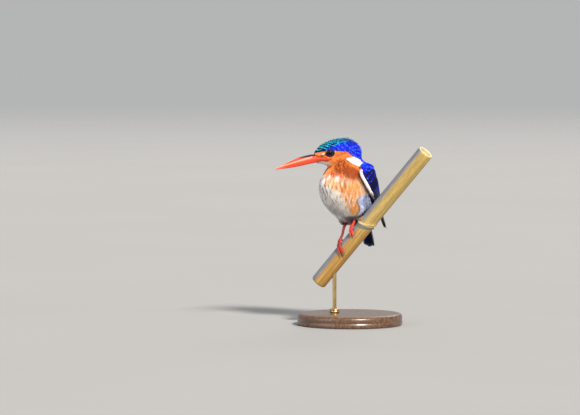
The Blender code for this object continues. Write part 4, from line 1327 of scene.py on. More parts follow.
def edge_feathers(word, side, material):
    """Small feathers folded round the wing's edges: cream along the front of the wrist, dark elsewhere."""
    bar = vane_bar()
    draws = np.random.default_rng(5)
    feathers = Feathers(bar)
    shares = np.linspace(0.0, 1.0, 8)
    # across, roll, lift, half width, how many, first and last base along
    rows = (
        (0.045, 0.05, 0.25, 0.5, 36, 0.02, 0.4), (0.015, 0.35, 0.25, 0.55, 40, -0.04, 0.46),
        (0.0, 0.95, -0.15, 0.65, 40, -0.04, 0.48), (0.0, 1.4, -0.7, 0.7, 40, -0.04, 0.5),
        (0.0, 1.9, -1.5, 0.8, 36, 0.0, 0.42), (0.03, 2.4, -2.4, 0.9, 32, 0.0, 0.4),
        (0.985, -0.5, -0.1, 0.9, 26, 0.1, 0.62), (1.0, -1.1, -0.5, 0.9, 26, 0.0, 0.62),
        (1.0, -1.45, -1.1, 1.0, 26, -0.05, 0.62),
    )
    for across, roll, lift, width, count, first, last in rows:
        for i in range(count):
            start = first + (last - first) * (i + draws.uniform(-0.3, 0.3)) / (count - 1)
            along = start + 0.07 * draws.uniform(0.85, 1.15) * shares
            raised = (lift + 0.4 * shares - 0.2) * (1.0 - 1.2 * rise(start, 0.3, 0.5))
            path, out = wing_point(side, along, np.full_like(along, across), raised)
            way = unit(np.gradient(path, axis=0))
            beside = unit(np.cross(way, out)) * side
            turn = roll + 0.08 * draws.normal()
            flat = beside * math.cos(turn) - out * math.sin(turn)
            up = out * math.cos(turn) + beside * math.sin(turn)
            half = width * draws.uniform(0.85, 1.15) * (1.0 - 0.45 * rise(start, 0.32, 0.48))
            base = path + up * (0.05 + 0.3 * shares)[:, None]
            spot = bar.one(base) + unit(bar.one(flat)) * (bar.across * half)[:, None]
            spot = spot + unit(bar.one(up)) * (bar.up * 0.1)[:, None]
            if across < 0.5:
                hue = mix(tone("white"), tone("buff"), draws.uniform(0.0, 0.55))
                hue = mix(hue, tone("ink"), 0.95 * rise(start + 0.03 * draws.normal(), 0.36, 0.44))
                # rows folded under the edge get the lining's buff, darkened as painted shade
                shaded_lining = mix(tone("orange") * 0.5, tone("ink"), rise(start, 0.3, 0.44) * 0.8)
                hue = mix(hue, shaded_lining, rise(roll, 1.5, 1.8))
                hue = mix(hue, tone("ultramarine"), rise(start, 0.02, -0.01))
            else:
                amount = draws.uniform(0.0, 0.75) * rise(start, 0.05, 0.4)
                hue = mix(tone("ultramarine"), tone("ink"), amount)
            # darker towards the base: partly grey down, partly painted shade between the feathers
            tones = filled(hue, len(bar.along)) * (0.7 + 0.3 * rise(bar.along, 0.0, 0.5))[:, None]
            feathers.add(spot, 4.2, half, tones)
    feathers.piece("wing_edge_" + word, 0.15, material)


def make_wings():
    material = feather_finish("quill_finish", 0.7, 0.5, 0.04)
    for word, side in SIDES:
        wing_bed(word, side, material)
        wing_feathers(word, side, material)
        edge_feathers(word, side, material)


def make_tail():
    """Twelve short quills, the middle pair on top, with coverts above and below."""
    root, tip = np.array(TAIL_ROOT), np.array(TAIL_TIP)
    way = unit(tip - root)
    beside = np.array((0.0, 1.0, 0.0))
    above = np.cross(beside, way)
    if above[0] > 0:
        above = -above
    long = np.linalg.norm(tip - root)
    bar = quill_bar(0.45)
    draws = np.random.default_rng(9)
    feathers = Feathers(bar)
    shares = np.linspace(0.0, 1.0, 10)
    rows = [("quill", side, i) for i in range(5, -1, -1) for side in (-1, 1)]
    rows += [("upper", 0, i) for i in range(9)] + [("higher", 0, i) for i in range(9)]
    rows += [("under", 0, i) for i in range(11)]
    for kind, side, i in rows:
        if kind == "quill":
            start, end = -1.0, long - draws.uniform(0.0, 1.5) - (0.6 if i > 3 else 0.0)
            aside = side * (0.25 + 0.34 * i + (0.25 + 0.46 * i) * shares)
            height = 0.95 - 0.3 * i - 0.15 * shares * (3 - i) * 0.5
            half = 1.95 - 0.05 * i
        elif kind == "higher":
            start, end = -7.5 + 0.8 * (i % 2), 7.4 + draws.uniform(-1.2, 1.5)
            aside = (i - 4) * (0.95 - 0.1 * shares)
            height = 3.7 - 0.09 * abs(i - 4) ** 2 - 1.0 * shares
            half = 1.1
        elif kind == "upper":
            start, end = -3.0 + 0.8 * (i % 2), 14.2 + draws.uniform(-1.4, 1.3) - 0.22 * abs(i - 4) ** 1.5
            aside = (i - 4) * (0.86 + 0.38 * shares)
            height = 2.9 - 0.07 * abs(i - 4) ** 2 - 0.8 * shares
            half = 1.15
        else:
            start, end = -2.5 + 1.2 * (i % 3), 12.5 + draws.uniform(-2.0, 2.0) - 1.1 * (i % 3)
            aside = (i - 5) * (0.5 + 0.08 * shares)
            height = -1.45 + 0.05 * abs(i - 5) ** 2 - 0.25 * (i % 3) * (1 - shares)
            half = 1.2
        centre = root + np.outer(start + (end - start) * shares, way)
        centre = centre + np.outer(aside, beside) + np.outer(height, above)
        slope = 0.09 * (side if kind == "quill" else 0.0)
        wide = bar.across * half
        spot = bar.one(centre) + beside * wide[:, None]
        sign = -1.0 if kind == "under" else 1.0
        spot = spot + above * (sign * bar.up * 0.11 - slope * wide - sign * 0.05 * wide**2)[:, None]
        feathers.add(spot, end - start, half, tail_tones(kind, i, side, bar, draws))
    material = feather_finish("tail_finish", 0.7, 0.5, 0.05)
    feathers.piece("tail_feathers", 0.5, material, "tail", ("tail",))


def tail_tones(kind, i, side, bar, draws):
    along = np.clip(bar.along, 0, 1)
    ink = filled(tone("ink") * 1.3, len(along))
    if kind in ("upper", "higher"):
        blue = mix(tone("ultramarine"), tone("azure"), draws.uniform(0.2, 0.9))
        return mix(ink, blue, rise(along, 0.2, 0.6))
    if kind == "under":
        warm = mix(tone("orange"), tone("white"), draws.uniform(0.0, 0.5))
        return mix(ink, warm, rise(along, 0.1, 0.4))
    outer = rise(side * bar.across, 0.55, 0.9)
    made = mix(ink, tone("grey") * 1.4, outer * (0.85 if i > 3 else 0.35))
    return mix(made, tone("grey") * 0.8, rise(along, 0.93, 1.0) * 0.4)


# ------------------------------------------------------------------------------------------ bill and eyes
def make_bill():
    """Two mandibles with a ridged culmen, a groove along each side and a slit of a nostril."""
    material = bill_finish()
    table = between(BILL, 8)
    wide, up = np.cos(circle(48)), np.sin(circle(48))
    for part, sign in (("upper", 1.0), ("lower", -1.0)):
        rings = []
        for along, culmen, edge, lower, half in table:
            base = max(0.0, 9.0 - along) / 8.0
            half = half + 0.3 * base
            slender = np.clip((along - 4.0) / 8.0, 0.0, 1.0)
            body = np.maximum(sign * up, 0.0)
            groove = 0.05 * np.exp(-((body - 0.45) ** 2) / 0.01) * slender * (half > 0.9)
            rim = edge + sign * BILL_GAP / 2
            far = culmen + 0.9 * base if part == "upper" else lower
            height = rim + body ** (1.0 + 0.25 * slender) * (far - rim)
            height = height + sign * 0.22 * np.maximum(-sign * up, 0.0)
            width = half * wide * (1.0 - groove)
            rings.append(placed(np.column_stack([np.full_like(width, along), width, height]), HEAD))
        item = loft("bill_" + part, rings)
        if part == "upper":
            carve_nostrils(item)
        apply_modifier(item, "finer", "SUBSURF", levels=1, render_levels=1)
        point_attribute(item.data, "horn", seen_from(places_of(item.data), HEAD))
        finish_piece(item, "bill_" + part + "_horn", "bill", material, ("bill_" + part,))


def carve_nostrils(item):
    """Presses a slit into each side of the upper mandible near its base."""
    places = places_of(item.data)
    head = seen_from(places, HEAD)
    slit = np.hypot((head[:, 0] - 12.6) / 1.2, (head[:, 2] - 0.75 + 0.12 * (head[:, 0] - 12.6)) / 0.34)
    depth = 0.3 * rise(slit, 1.1, 0.4) * rise(np.abs(head[:, 1]), 1.5, 2.2)
    head[:, 1] -= np.sign(head[:, 1]) * depth
    set_places(item.data, placed(head, HEAD))


def bill_finish():
    """Red horn with fine lengthwise streaks, a painted highlight along the upper mandible, a dark ridge near
    the base, a paler tip and a painted shadow in the nostril.
    """
    finish = Finish("bill_finish", Specular_IOR_Level=0.42, Coat_Weight=0.12, Coat_Roughness=0.2)
    place = finish.attribute("horn", "Vector")
    x, _, z = finish.parts(place)
    streak = finish.noise(finish.vector("MULTIPLY", place, (0.055, 1.0, 1.4)), 2.2, 4.0, 0.6)
    fine = finish.noise(finish.vector("MULTIPLY", place, (0.2, 4.0, 5.0)), 2.4, 3.0)
    # pale lengthwise streaks: partly the horn's own, partly painted highlight
    finish.base = finish.mixed(streak.between(0.5, 0.8) * 0.35, tone("bill"), tone("bill_pale"))
    finish.over(fine.between(0.35, 0.8) * 0.25, tone("bill") * 0.55)
    # painted highlight: a pale band along the middle of the upper mandible
    shine = (z + 0.045 * x - 1.75 + 0.3 * streak).math("ABSOLUTE").between(0.55, 0.1)
    finish.over(shine * 0.65, tone("bill_pale") * (1.0, 1.4, 1.8))
    ridge = (z - 0.11 * x + 0.5 * streak).between(-0.45, 0.35) * (1.0 - x.between(24.0, 37.0))
    finish.over(ridge, tone("bill_dark"))
    tip = x.between(33.0, 43.0)
    finish.over(tip * 0.45, tone("bill_pale"))
    # painted shadow inside the nostril's slit
    nostril = ((x - 12.6) * (x - 12.6) * 0.7 + (z - 0.75) * (z - 0.75) * 9.0).between(1.0, 0.5)
    finish.over(nostril * 0.9, tone("bill_dark") * 0.15)
    return finish.feed(finish.base, fine * 0.12 + 0.3, fine, 0.00006, 0.5)


def eye_frame(side):
    """The eye's own frame: z along its line of sight."""
    look = Vector((EYE_LOOK[0], side * EYE_LOOK[1], EYE_LOOK[2])).normalized()
    middle = Vector((EYE[0], side * EYE[1], EYE[2]))
    turn = look.to_track_quat("Z", "Y").to_matrix().to_4x4()
    return HEAD @ Matrix.Translation(middle) @ turn


def make_eyes():
    """Each eye is a ball with a domed cornea, and a rim of bare black skin for its lids."""
    ball, rim = eye_finish(), lid_finish()
    for name, side in SIDES:
        own = eye_frame(side)
        deselect()
        bpy.ops.mesh.primitive_uv_sphere_add(segments=64, ring_count=40, radius=EYE_RADIUS * MM)
        item = bpy.context.object
        places = places_of(item.data)
        beside = np.hypot(places[:, 0], places[:, 1])
        dome = 0.16 * np.clip(1.0 - (beside / 1.9) ** 2, 0.0, 1.0) * (places[:, 2] > 0)
        places[:, 2] += dome
        set_places(item.data, placed(places, own))
        point_attribute(item.data, "sight", places)
        finish_piece(item, "eyeball_" + name, "eye", ball, ("eye_" + name,))
        deselect()
        bpy.ops.mesh.primitive_torus_add(
            major_segments=72, minor_segments=16, major_radius=2.3 * MM, minor_radius=0.48 * MM
        )
        lid = bpy.context.object
        ring = places_of(lid.data)
        turn = np.arctan2(ring[:, 1], ring[:, 0])
        radius = np.hypot(ring[:, 0], ring[:, 1])
        wrinkle = 0.04 * np.sin(turn * 31.0) + 0.03 * np.sin(turn * 17.0)
        corner = 0.62 * np.exp(-((np.mod(turn + math.pi / 2, math.pi) - math.pi / 2) ** 2) / 0.05)
        grown = radius + corner * 0.8 + wrinkle * (radius > 2.2)
        ring[:, 0] = np.cos(turn) * grown
        ring[:, 1] = np.sin(turn) * grown * 0.82
        outer = np.hypot(ring[:, 0], ring[:, 1])
        seat = np.sqrt(np.maximum(EYE_RADIUS**2 - np.minimum(outer, 2.6) ** 2, 0.3))
        ring[:, 2] = seat + ring[:, 2] * 1.1 - 0.02
        set_places(lid.data, placed(ring, own))
        finish_piece(lid, "eyelids_" + name, "head", rim)


def eye_finish():
    """A black pupil in a dark brown iris under a clear wet coat."""
    finish = Finish("eye_finish", Coat_Weight=0.16, Coat_Roughness=0.03, Specular_IOR_Level=0.04)
    place = finish.attribute("sight", "Vector")
    x, y, _ = finish.parts(place)
    beside = (x * x + y * y).math("SQRT")
    rays = finish.noise(place, 3.5, 4.0)
    iris = finish.mixed(rays.between(0.3, 0.7), (0.004, 0.002, 0.001), (0.014, 0.006, 0.003))
    made = finish.mixed(beside.between(1.05, 1.2), (0.001, 0.001, 0.001), iris)
    made = finish.mixed(beside.between(1.75, 2.0), made, (0.004, 0.003, 0.003))
    return finish.feed(made, 0.25)


def lid_finish():
    finish = Finish("lid_finish", Specular_IOR_Level=0.5)
    grain = finish.noise(finish.place(), 4200.0, 3.0)
    made = finish.mixed(grain.between(0.3, 0.8), tone("ink") * 0.7, tone("slate") * 0.35)
    return finish.feed(made, grain * 0.2 + 0.4, grain, 0.00008)


# ------------------------------------------------------------------------------------------ legs
def tube(name, points, radii, resolution=6):
    """A tube through the points with a radius at each, as a mesh in place."""
    curve = bpy.data.curves.new(name, "CURVE")
    curve.dimensions = "3D"
    curve.bevel_depth = MM
    curve.bevel_resolution = resolution
    curve.use_fill_caps = True
    spline = curve.splines.new("POLY")
    spline.points.add(len(points) - 1)
    for point, place, radius in zip(spline.points, points, radii):
        point.co = (*(Vector(place) * MM), 1.0)
        point.radius = radius
    item = new_item(name, curve)
    choose(item)
    bpy.ops.object.convert(target="MESH")
    face_outwards(1e-6)
    return bpy.context.object


def joined(items, name):
    """Several mesh objects as one."""
    deselect()
    for item in items:
        item.select_set(True)
    bpy.context.view_layer.objects.active = items[0]
    bpy.ops.object.join()
    items[0].name = name
    return items[0]


def toe_line(pad_along, start, end, drift_start, drift_end, shares):
    """Places along a toe: it follows the reed's round and lifts over its knuckles."""
    points = []
    for share in shares:
        angle = start + (end - start) * share
        drift = drift_start + (drift_end - drift_start) * share
        lift = 0.5 * math.sin(math.pi * min(1.0, share * 1.6)) * (1 - share)
        points.append(on_reed(pad_along + drift, angle, SOLE_RADIUS + lift))
    return points


def make_legs():
    """Each leg is one skin over shin, pad and four toes with scutes and knuckles, and four horn claws."""
    horn = claw_finish()
    for name, (pad_along, shin_top, slide, reach, red_to_shaded_shin) in FEET.items():
        skin = leg_finish(name, red_to_shaded_shin)
        flesh, claws = [], []
        pad = on_reed(pad_along, FOOT_ANGLE, SOLE_RADIUS + 0.35)
        top = BODY @ Vector(shin_top)
        shin = [top.lerp(pad, share) for share in (0.0, 0.35, 0.7, 1.0)]
        shin[2] += Vector((0.7, 0.5, 0.2))
        rows = between([(*place, radius) for place, radius in zip(shin, (1.35, 1.12, 0.98, 1.2))], 14)
        rings = 0.05 * np.sin(np.arange(len(rows)) * 2 * math.pi / 4.0)
        flesh.append(tube("shin", rows[:, :3], rows[:, 3] + rings))
        deselect()
        bpy.ops.mesh.primitive_uv_sphere_add(segments=24, ring_count=16, radius=1.3 * MM, location=pad * MM)
        bpy.ops.object.transform_apply()
        flesh.append(bpy.context.object)
        for start, end, drift_start, drift_end in TOES:
            if end > start:
                end, drift_end = end + reach, drift_end + slide
            shares = np.linspace(0.0, 1.0 - CLAW_SHARE + 0.03, 44)
            radii = 0.72 * (1.0 - 0.16 * shares)
            knuckles = 0.09 * np.cos(shares * 2 * math.pi * 3.2)
            scutes = 0.045 * np.abs(np.sin(shares * math.pi * 13.0))
            radii = radii + knuckles * (shares > 0.1) + scutes - 0.06
            points = toe_line(pad_along, start, end, drift_start, drift_end, shares)
            flesh.append(tube("toe", points, radii))
            shares = np.linspace(1.0 - CLAW_SHARE - 0.03, 1.0, 14)
            rest = np.linspace(0.0, 1.0, 14)
            radii = 0.44 * (1.0 - rest) ** 0.75 + 0.07
            points = toe_line(pad_along, start, end, drift_start, drift_end, shares)
            claws.append(tube("claw", points, radii, 4))
        leg = joined(flesh, "leg")
        apply_modifier(leg, "one_skin", "REMESH", mode="VOXEL", voxel_size=LEG_VOXEL)
        apply_modifier(leg, "even", "SMOOTH", factor=0.5, iterations=2)
        finish_piece(leg, "leg_skin_" + name, "leg", skin, ("leg_" + name,))
        finish_piece(joined(claws, "claws"), "claws_" + name, "leg", horn)


def leg_finish(name, red_to_shaded_shin):
    """Bright red toes and darker shins, their darkness partly painted shade, with scutes showing as shallow
    plates.
    """
    finish = Finish("leg_finish_" + name, Specular_IOR_Level=0.45)
    where = finish.place()
    settings, inputs = {"feature": "DISTANCE_TO_EDGE"}, {"Vector": where, "Scale": 1500.0}
    plates = finish.node("ShaderNodeTexVoronoi", settings, inputs)
    grain = finish.noise(where, 2500.0, 3.0)
    out = finish.vector("SUBTRACT", where, tuple(Vector(REED_JOINT) * MM))
    ahead = finish.vector("DOT_PRODUCT", out, tuple(reed_axes()[0]), output=1)
    whole = finish.vector("DOT_PRODUCT", out, out, output=1)
    radius = (whole - ahead * ahead).math("SQRT") * (1.0 / MM)
    # the shin's darker red beyond the bright toes is partly painted shade
    high = radius.between(red_to_shaded_shin, red_to_shaded_shin + 2.4)
    finish.base = finish.mixed(high, tone("leg"), tone("shin"))
    finish.over(grain.between(0.45, 0.8) * (1.0 - high) * 0.12, tone("bill_pale"))
    finish.over(plates.between(0.1, 0.0) * 0.3, tone("shin"))
    return finish.feed(finish.base, grain * 0.2 + 0.38, plates.between(0.0, 0.18), 0.00006, 0.7)


def claw_finish():
    finish = Finish("claw_finish", Specular_IOR_Level=0.5)
    grain = finish.noise(finish.place((1.0, 1.0, 0.3)), 3000.0, 3.0)
    finish.base = finish.mixed(grain.between(0.35, 0.7), tone("claw"), tone("claw") * 2.2)
    return finish.feed(finish.base, grain * 0.15 + 0.25, grain, 0.00003)


# ------------------------------------------------------------------------------------------ reed and stand
def make_reed():
    """A turned reed with shallow ribs, an oblique joint, a bud in its axil and bores at its cut ends."""
    # (radius, how far below the cut end) from the bore's bottom to the rim
    cut = (
        (0.05, 3.5), (2.4, 3.3), (BORE_RADIUS, 3.0), (BORE_RADIUS + 0.15, 1.5), (BORE_RADIUS + 0.3, 0.1),
        (BORE_RADIUS + 0.45, 0.0), (REED_RADIUS - 0.35, 0.0), (REED_RADIUS - 0.12, 0.3),
    )
    # (how far the joint stands out, distance along the reed)
    joint = (
        (0.02, 5.0), (0.12, 3.2), (0.3, 1.6), (0.62, 0.95), (0.76, 0.5), (0.78, 0.1), (0.66, -0.3),
        (0.3, -0.48), (0.16, -0.75), (0.18, -1.6), (0.1, -2.6), (0.02, -4.2),
    )
    outline = [(radius, REED_ABOVE - depth) for radius, depth in cut]
    outline += [(REED_RADIUS, at) for at in np.linspace(REED_ABOVE - 1.5, 7.0, 46)]
    outline += [(REED_RADIUS + out, at) for out, at in joint]
    outline += [(REED_RADIUS, at) for at in np.linspace(-6.0, 1.5 - REED_BELOW, 38)]
    outline += [(radius, depth - REED_BELOW) for radius, depth in reversed(cut)]
    turn = circle(96)
    along, upper, front = (np.array(axis) for axis in reed_axes())
    draws = np.random.default_rng(31)
    ribs = 0.0
    for count in (17, 23, 31, 37, 43):
        ribs = ribs + draws.uniform(0.3, 1.0) * np.sin(turn * count + draws.uniform(0, 6.3))
    ribs = ribs * 0.018
    rings = []
    for radius, at in outline:
        own = radius + ribs * rise(radius, BORE_RADIUS + 0.5, REED_RADIUS - 0.2)
        fade = max(0.0, 1.0 - abs(at) / JOINT_FADE)
        height = at + JOINT_TILT * (1.0 - np.cos(turn)) * fade * (radius > 1.0)
        rings.append(
            np.array(REED_JOINT) + np.outer(height, along)
            + np.outer(own * np.cos(turn), upper) + np.outer(own * np.sin(turn), front)
        )
    item = loft("reed", rings)
    point_attribute(item.data, "bud", np.full(len(item.data.vertices), -1.0))
    item = joined([item, make_bud()], "reed")
    reed_place(item.data)
    finish_piece(item, "reed_stem", "reed", reed_finish(), ("perch_reed",))


def make_bud():
    """The bud in the joint's axil, wrapped in overlapping scales."""
    along, upper, front = (np.array(axis) for axis in reed_axes())
    middle = np.array(on_reed(BUD_ALONG, BUD_ANGLE, REED_RADIUS + 0.2))
    out = unit(upper * math.cos(math.radians(BUD_ANGLE)) + front * math.sin(math.radians(BUD_ANGLE)))
    beside = np.cross(along, out)
    rings = []
    for share in np.linspace(-1.0, 1.0, 44):
        turn = circle(40)
        radius = 1.62 * max(0.02, (1 - abs(share) ** 2.2)) ** 0.5 * (1.0 - 0.3 * share)
        own = radius * (1.0 - 0.12 * (1.0 - bud_scale(share, turn)))
        rings.append(
            middle + along * share * BUD_HALF
            + np.outer(own * np.cos(turn), beside) + np.outer(own * np.sin(turn) * 0.9, out)
        )
    item = loft("bud", rings)
    away = places_of(item.data) - middle
    turn = np.arctan2(away @ out / 0.9, away @ beside)
    point_attribute(item.data, "bud", bud_scale(away @ along / BUD_HALF, turn))
    return item


def bud_scale(share, turn):
    """How far a place on the bud is from its scale's root, 1 at the scale's pointed lip."""
    return np.mod(share * 1.05 + 0.8 * np.abs(np.sin(turn - 0.6)) + 2.3, 1.0)


def reed_place(mesh):
    """Stores each point's distance along the reed, its angle round it and its radius."""
    along, upper, front = (np.array(axis) for axis in reed_axes())
    out = places_of(mesh) - np.array(REED_JOINT)
    ahead = out @ along
    u, f = out @ upper, out @ front
    radius = np.hypot(u, f)
    tilt = JOINT_TILT * (1.0 - u / np.maximum(radius, 1e-6))
    tilt = tilt * np.clip(1.0 - np.abs(ahead) / JOINT_FADE, 0, 1)
    point_attribute(mesh, "stem", np.column_stack([u, f, ahead]))
    point_attribute(mesh, "joint", ahead - tilt)
    point_attribute(mesh, "radius", radius)


def reed_finish():
    """Straw with fine lengthwise grain, painted shade with a painted sky reflection on its upper side, a
    pale joint ring and green below it.
    """
    finish = Finish("reed_finish", Specular_IOR_Level=0.45)
    stem = finish.attribute("stem", "Vector")
    u, f, _ = finish.parts(stem)
    at = finish.attribute("joint", "Fac")
    radius = finish.attribute("radius", "Fac")

    def grain(stretch, scale, detail, rough=0.6):
        return finish.noise(finish.vector("MULTIPLY", stem, stretch), scale, detail, rough)

    broad = grain((1, 1, 0.03), 0.55, 3.0)
    fine = grain((1, 1, 0.035), 2.6, 4.0)
    hair = grain((1, 1, 0.05), 7.0, 3.0)
    finish.base = finish.mixed(broad.between(0.3, 0.7), tone("reed"), tone("reed") * (0.62, 0.6, 0.7))
    # pale streaks along the grain: partly the straw's own, partly painted highlight
    finish.over(fine.between(0.5, 0.75) * 0.6, tone("reed_pale"))
    finish.over(hair.between(0.52, 0.36) * 0.65, tone("reed") * 0.28)
    lines = grain((1, 1, 0.012), 1.9, 2.0)
    finish.over(lines.between(0.42, 0.36) * 0.7, tone("reed") * (0.3, 0.26, 0.3))
    finish.over(at.between(-4.0, -7.0) * broad.between(0.25, 0.6) * 0.7, tone("reed") * (0.62, 0.42, 0.3))
    # painted shade: blue-grey over the reed's upper side, turned away from the light
    shade = (u - f * 0.2 + fine * 2.0 - 1.0).between(1.3, 3.6)
    grey = finish.mixed(fine.between(0.3, 0.6), tone("reed_painted_shade") * 0.4, tone("reed_painted_shade") * 1.9)
    finish.over(shade * 0.85, grey)
    flecks = grain((1, 1, 0.25), 1.8, 5.0, 0.5)
    finish.over(flecks.between(0.62, 0.75) * 0.6, tone("reed") * 0.22)
    green = band(at, -4.2, -0.5)
    finish.over(green * 0.82, (0.12, 0.145, 0.1))
    ring = band(at, -0.85, 0.2)
    finish.over(ring * 0.95, (0.9, 0.86, 0.76))
    over = band(at, 0.15, 1.3)
    finish.over(over * 0.5, tone("reed") * (1.5, 1.4, 1.1))
    scale = finish.attribute("bud", "Fac")
    brown = finish.mixed(hair.between(0.35, 0.65), (0.3, 0.15, 0.055), (0.17, 0.075, 0.03))
    # the bud's scales: pale lips as painted highlight, and painted shade at their roots under the next scale
    brown = finish.mixed(scale.between(0.7, 1.0) * 0.8, brown, tone("reed_pale"))
    brown = finish.mixed(scale.between(0.2, 0.04) * 0.9, brown, (0.03, 0.014, 0.01))
    finish.over(scale.between(-0.6, -0.5), brown)
    # the cut ends: a pale rim and a dark bore, partly pith and partly painted shade in the hollow
    ends = radius.between(REED_RADIUS - 0.1, REED_RADIUS - 0.35)
    finish.over(ends, finish.mixed(radius.between(3.8, 4.6), (0.2, 0.15, 0.08), (0.62, 0.5, 0.28)))
    rough = 0.42 + hair * 0.2 + shade * 0.15
    return finish.feed(finish.base, rough, hair + fine * 0.6, 0.00009, 0.7)


def band(value, low, high):
    """1 between low and high, soft at both ends."""
    soft = 0.25
    return value.between(low - soft, low + soft) * (1.0 - value.between(high - soft, high + soft))


def turned_piece(name, outline, sides, middle):
    """A turned piece: its outline of (radius, height) goes round an upright axis."""
    turn = circle(sides)
    x, y = middle
    rings = [
        np.column_stack([x + radius * np.cos(turn), y + radius * np.sin(turn), np.full(sides, height)])
        for radius, height in outline
    ]
    return loft(name, rings)


def upright(low, high):
    """The middle, radius, bottom and top of an upright round solid in millimetres, from its box."""
    middle = ((low.x + high.x) / 2 / MM, (low.y + high.y) / 2 / MM)
    return middle, (high.x - low.x) / 2 / MM, low.z / MM, high.z / MM


def make_stand():
    """A turned wooden base with a moulded rim, a brass rod up to the reed and a collar at its foot."""
    wood, brass = wood_finish(), brass_finish()
    middle, radius, _, top = upright(*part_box("stand_base"))
    outline = [(0.4, 0.0), (radius - 1.6, 0.0), (radius - 0.5, 0.25), (radius, 1.1), (radius, 3.4)]
    outline += [(radius - 0.35, 3.75), (radius - 0.35, 4.15), (radius - 0.1, 4.5)]
    for turn in np.linspace(0.0, math.pi / 2, 9):
        outline.append((radius - 2.6 + 2.5 * math.cos(turn), top - 2.6 + 2.6 * math.sin(turn)))
    outline += [(radius - 5.0, top), (radius * 0.6, top), (radius * 0.3, top), (0.4, top)]
    base = turned_piece("base", outline, 160, middle)
    finish_piece(base, "base_wood", "base", wood, ("stand_base",))
    middle, thin, bottom, top = upright(*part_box("stand_rod"))
    outline = [(0.2, bottom), (thin, bottom)]
    outline += [(thin, at) for at in np.linspace(bottom + 1.0, top - 0.6, 20)]
    outline += [(thin - 0.2, top - 0.15), (0.2, top)]
    finish_piece(turned_piece("rod", outline, 40, middle), "rod_brass", "rod", brass, ("stand_rod",))
    middle, wide, bottom, top = upright(*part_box("stand_collar"))
    outline = [(thin + 0.12, bottom), (wide - 0.3, bottom), (wide, bottom + 0.3), (wide, bottom + 1.1)]
    outline += [(wide - 0.35, bottom + 1.35), (wide - 0.35, bottom + 1.6), (wide - 0.1, bottom + 1.85)]
    outline += [(wide - 0.3, top - 0.5), (wide - 0.9, top - 0.12), (wide - 1.5, top), (thin + 0.12, top)]
    collar = turned_piece("collar", outline, 64, middle)
    finish_piece(collar, "collar_brass", "rod", brass, ("stand_collar",))


def wood_finish():
    """Dark turned wood: rings across the grain, fine pores and a satin varnish."""
    finish = Finish("wood_finish", Specular_IOR_Level=0.5, Coat_Weight=0.35, Coat_Roughness=0.25)
    where = finish.place((1.0, 0.16, 1.0), (0.0, 0.0, 0.5))
    wobble = finish.noise(where, 60.0, 3.0)
    moved = finish.vector("ADD", where, finish.mixed(0.03, (0, 0, 0), wobble))
    rings = finish.node(
        "ShaderNodeTexWave", {"wave_type": "BANDS", "bands_direction": "X"},
        {"Vector": moved, "Scale": 120.0, "Distortion": 6.0, "Detail": 3.0, "Detail Scale": 1.2},
    )
    pores = finish.noise(where, 1800.0, 4.0)
    finish.base = finish.mixed(rings, tone("wood"), tone("wood") * 2.1)
    finish.over(pores.between(0.45, 0.3) * 0.6, tone("wood") * 0.4)
    return finish.feed(finish.base, pores * 0.15 + 0.3, pores, 0.00006, 0.5)


def brass_finish():
    """Brushed brass, a little darker where it is handled least."""
    finish = Finish("brass_finish", Metallic=1.0)
    brush = finish.noise(finish.place((1.0, 1.0, 12.0)), 700.0, 4.0)
    cloud = finish.noise(finish.place(), 260.0, 2.0)
    worn = tone("brass") * (0.6, 0.5, 0.4)
    base = finish.mixed(cloud.between(0.35, 0.75) * 0.5, tone("brass"), worn)
    return finish.feed(base, brush * 0.2 + 0.2, brush, 0.00002, 0.4)


# ------------------------------------------------------------------------------------------ stage
CAMERA_RISE = math.radians(3.0)
CAMERA_LENS = 200.0
SENSOR_WIDTH = 36.0
VIEW_WIDTH = 0.4524  # how wide the view is where the bird sits, in metres
VIEW_MIDDLE = (-0.0468, 0.0, 0.09165)


def lamp(name, way, power, softness, tint):
    """Even light from a direction, as from a large far softbox."""
    light = bpy.data.lights.new(name, "SUN")
    light.energy = power
    light.angle = math.radians(softness)
    light.color = tint
    item = new_item(name, light)
    item.location = Vector(way)
    item.rotation_euler = Vector(way).to_track_quat("Z", "Y").to_euler()


def make_stage():
    """A pale floor that fades into the backdrop, soft lights and the camera."""
    deselect()
    under = (0.0, 0.0, -0.0001)
    bpy.ops.mesh.primitive_circle_add(vertices=96, radius=9.0, fill_type="TRIFAN", location=under)
    floor = bpy.context.object
    bpy.ops.object.transform_apply()
    floor.name = "stage_floor"
    finish = Finish("floor_finish", Specular_IOR_Level=0.1)
    where = finish.place()
    cloud = finish.noise(where, 3.0, 2.0)
    away = finish.vector("LENGTH", where, output=1)
    shade = finish.mixed(cloud.between(0.2, 0.8), tone("floor"), tone("floor") * 0.97)
    floor.data.materials.append(finish.feed(shade, 0.85, Alpha=away.between(8.8, 2.5)))
    world = bpy.data.worlds.new("studio")
    world.use_nodes = True
    world.node_tree.nodes["Background"].inputs["Color"].default_value = (0.74, 0.745, 0.75, 1.0)
    world.node_tree.nodes["Background"].inputs["Strength"].default_value = 0.62
    bpy.context.scene.world = world
    lamp("key", (0.5, -1.0, 0.84), 5.3, 9.0, (1.0, 0.955, 0.89))
    lamp("fill", (-0.9, -0.6, 0.3), 0.95, 40.0, (0.84, 0.9, 1.0))
    lamp("rim", (0.3, 1.0, 0.75), 0.5, 25.0, (1.0, 0.98, 0.95))
    camera = new_item("camera", bpy.data.cameras.new("camera"))
    camera.data.lens = CAMERA_LENS
    camera.data.sensor_width = SENSOR_WIDTH
    away = VIEW_WIDTH / SENSOR_WIDTH * CAMERA_LENS
    back = Vector((0.0, -math.cos(CAMERA_RISE), math.sin(CAMERA_RISE)))
    camera.location = Vector(VIEW_MIDDLE) + back * away
    camera.rotation_euler = (-back).to_track_quat("-Z", "Y").to_euler()
    camera.data.clip_end = 40.0
    bpy.context.scene.camera = camera
    bpy.context.scene.view_settings.view_transform = "Standard"


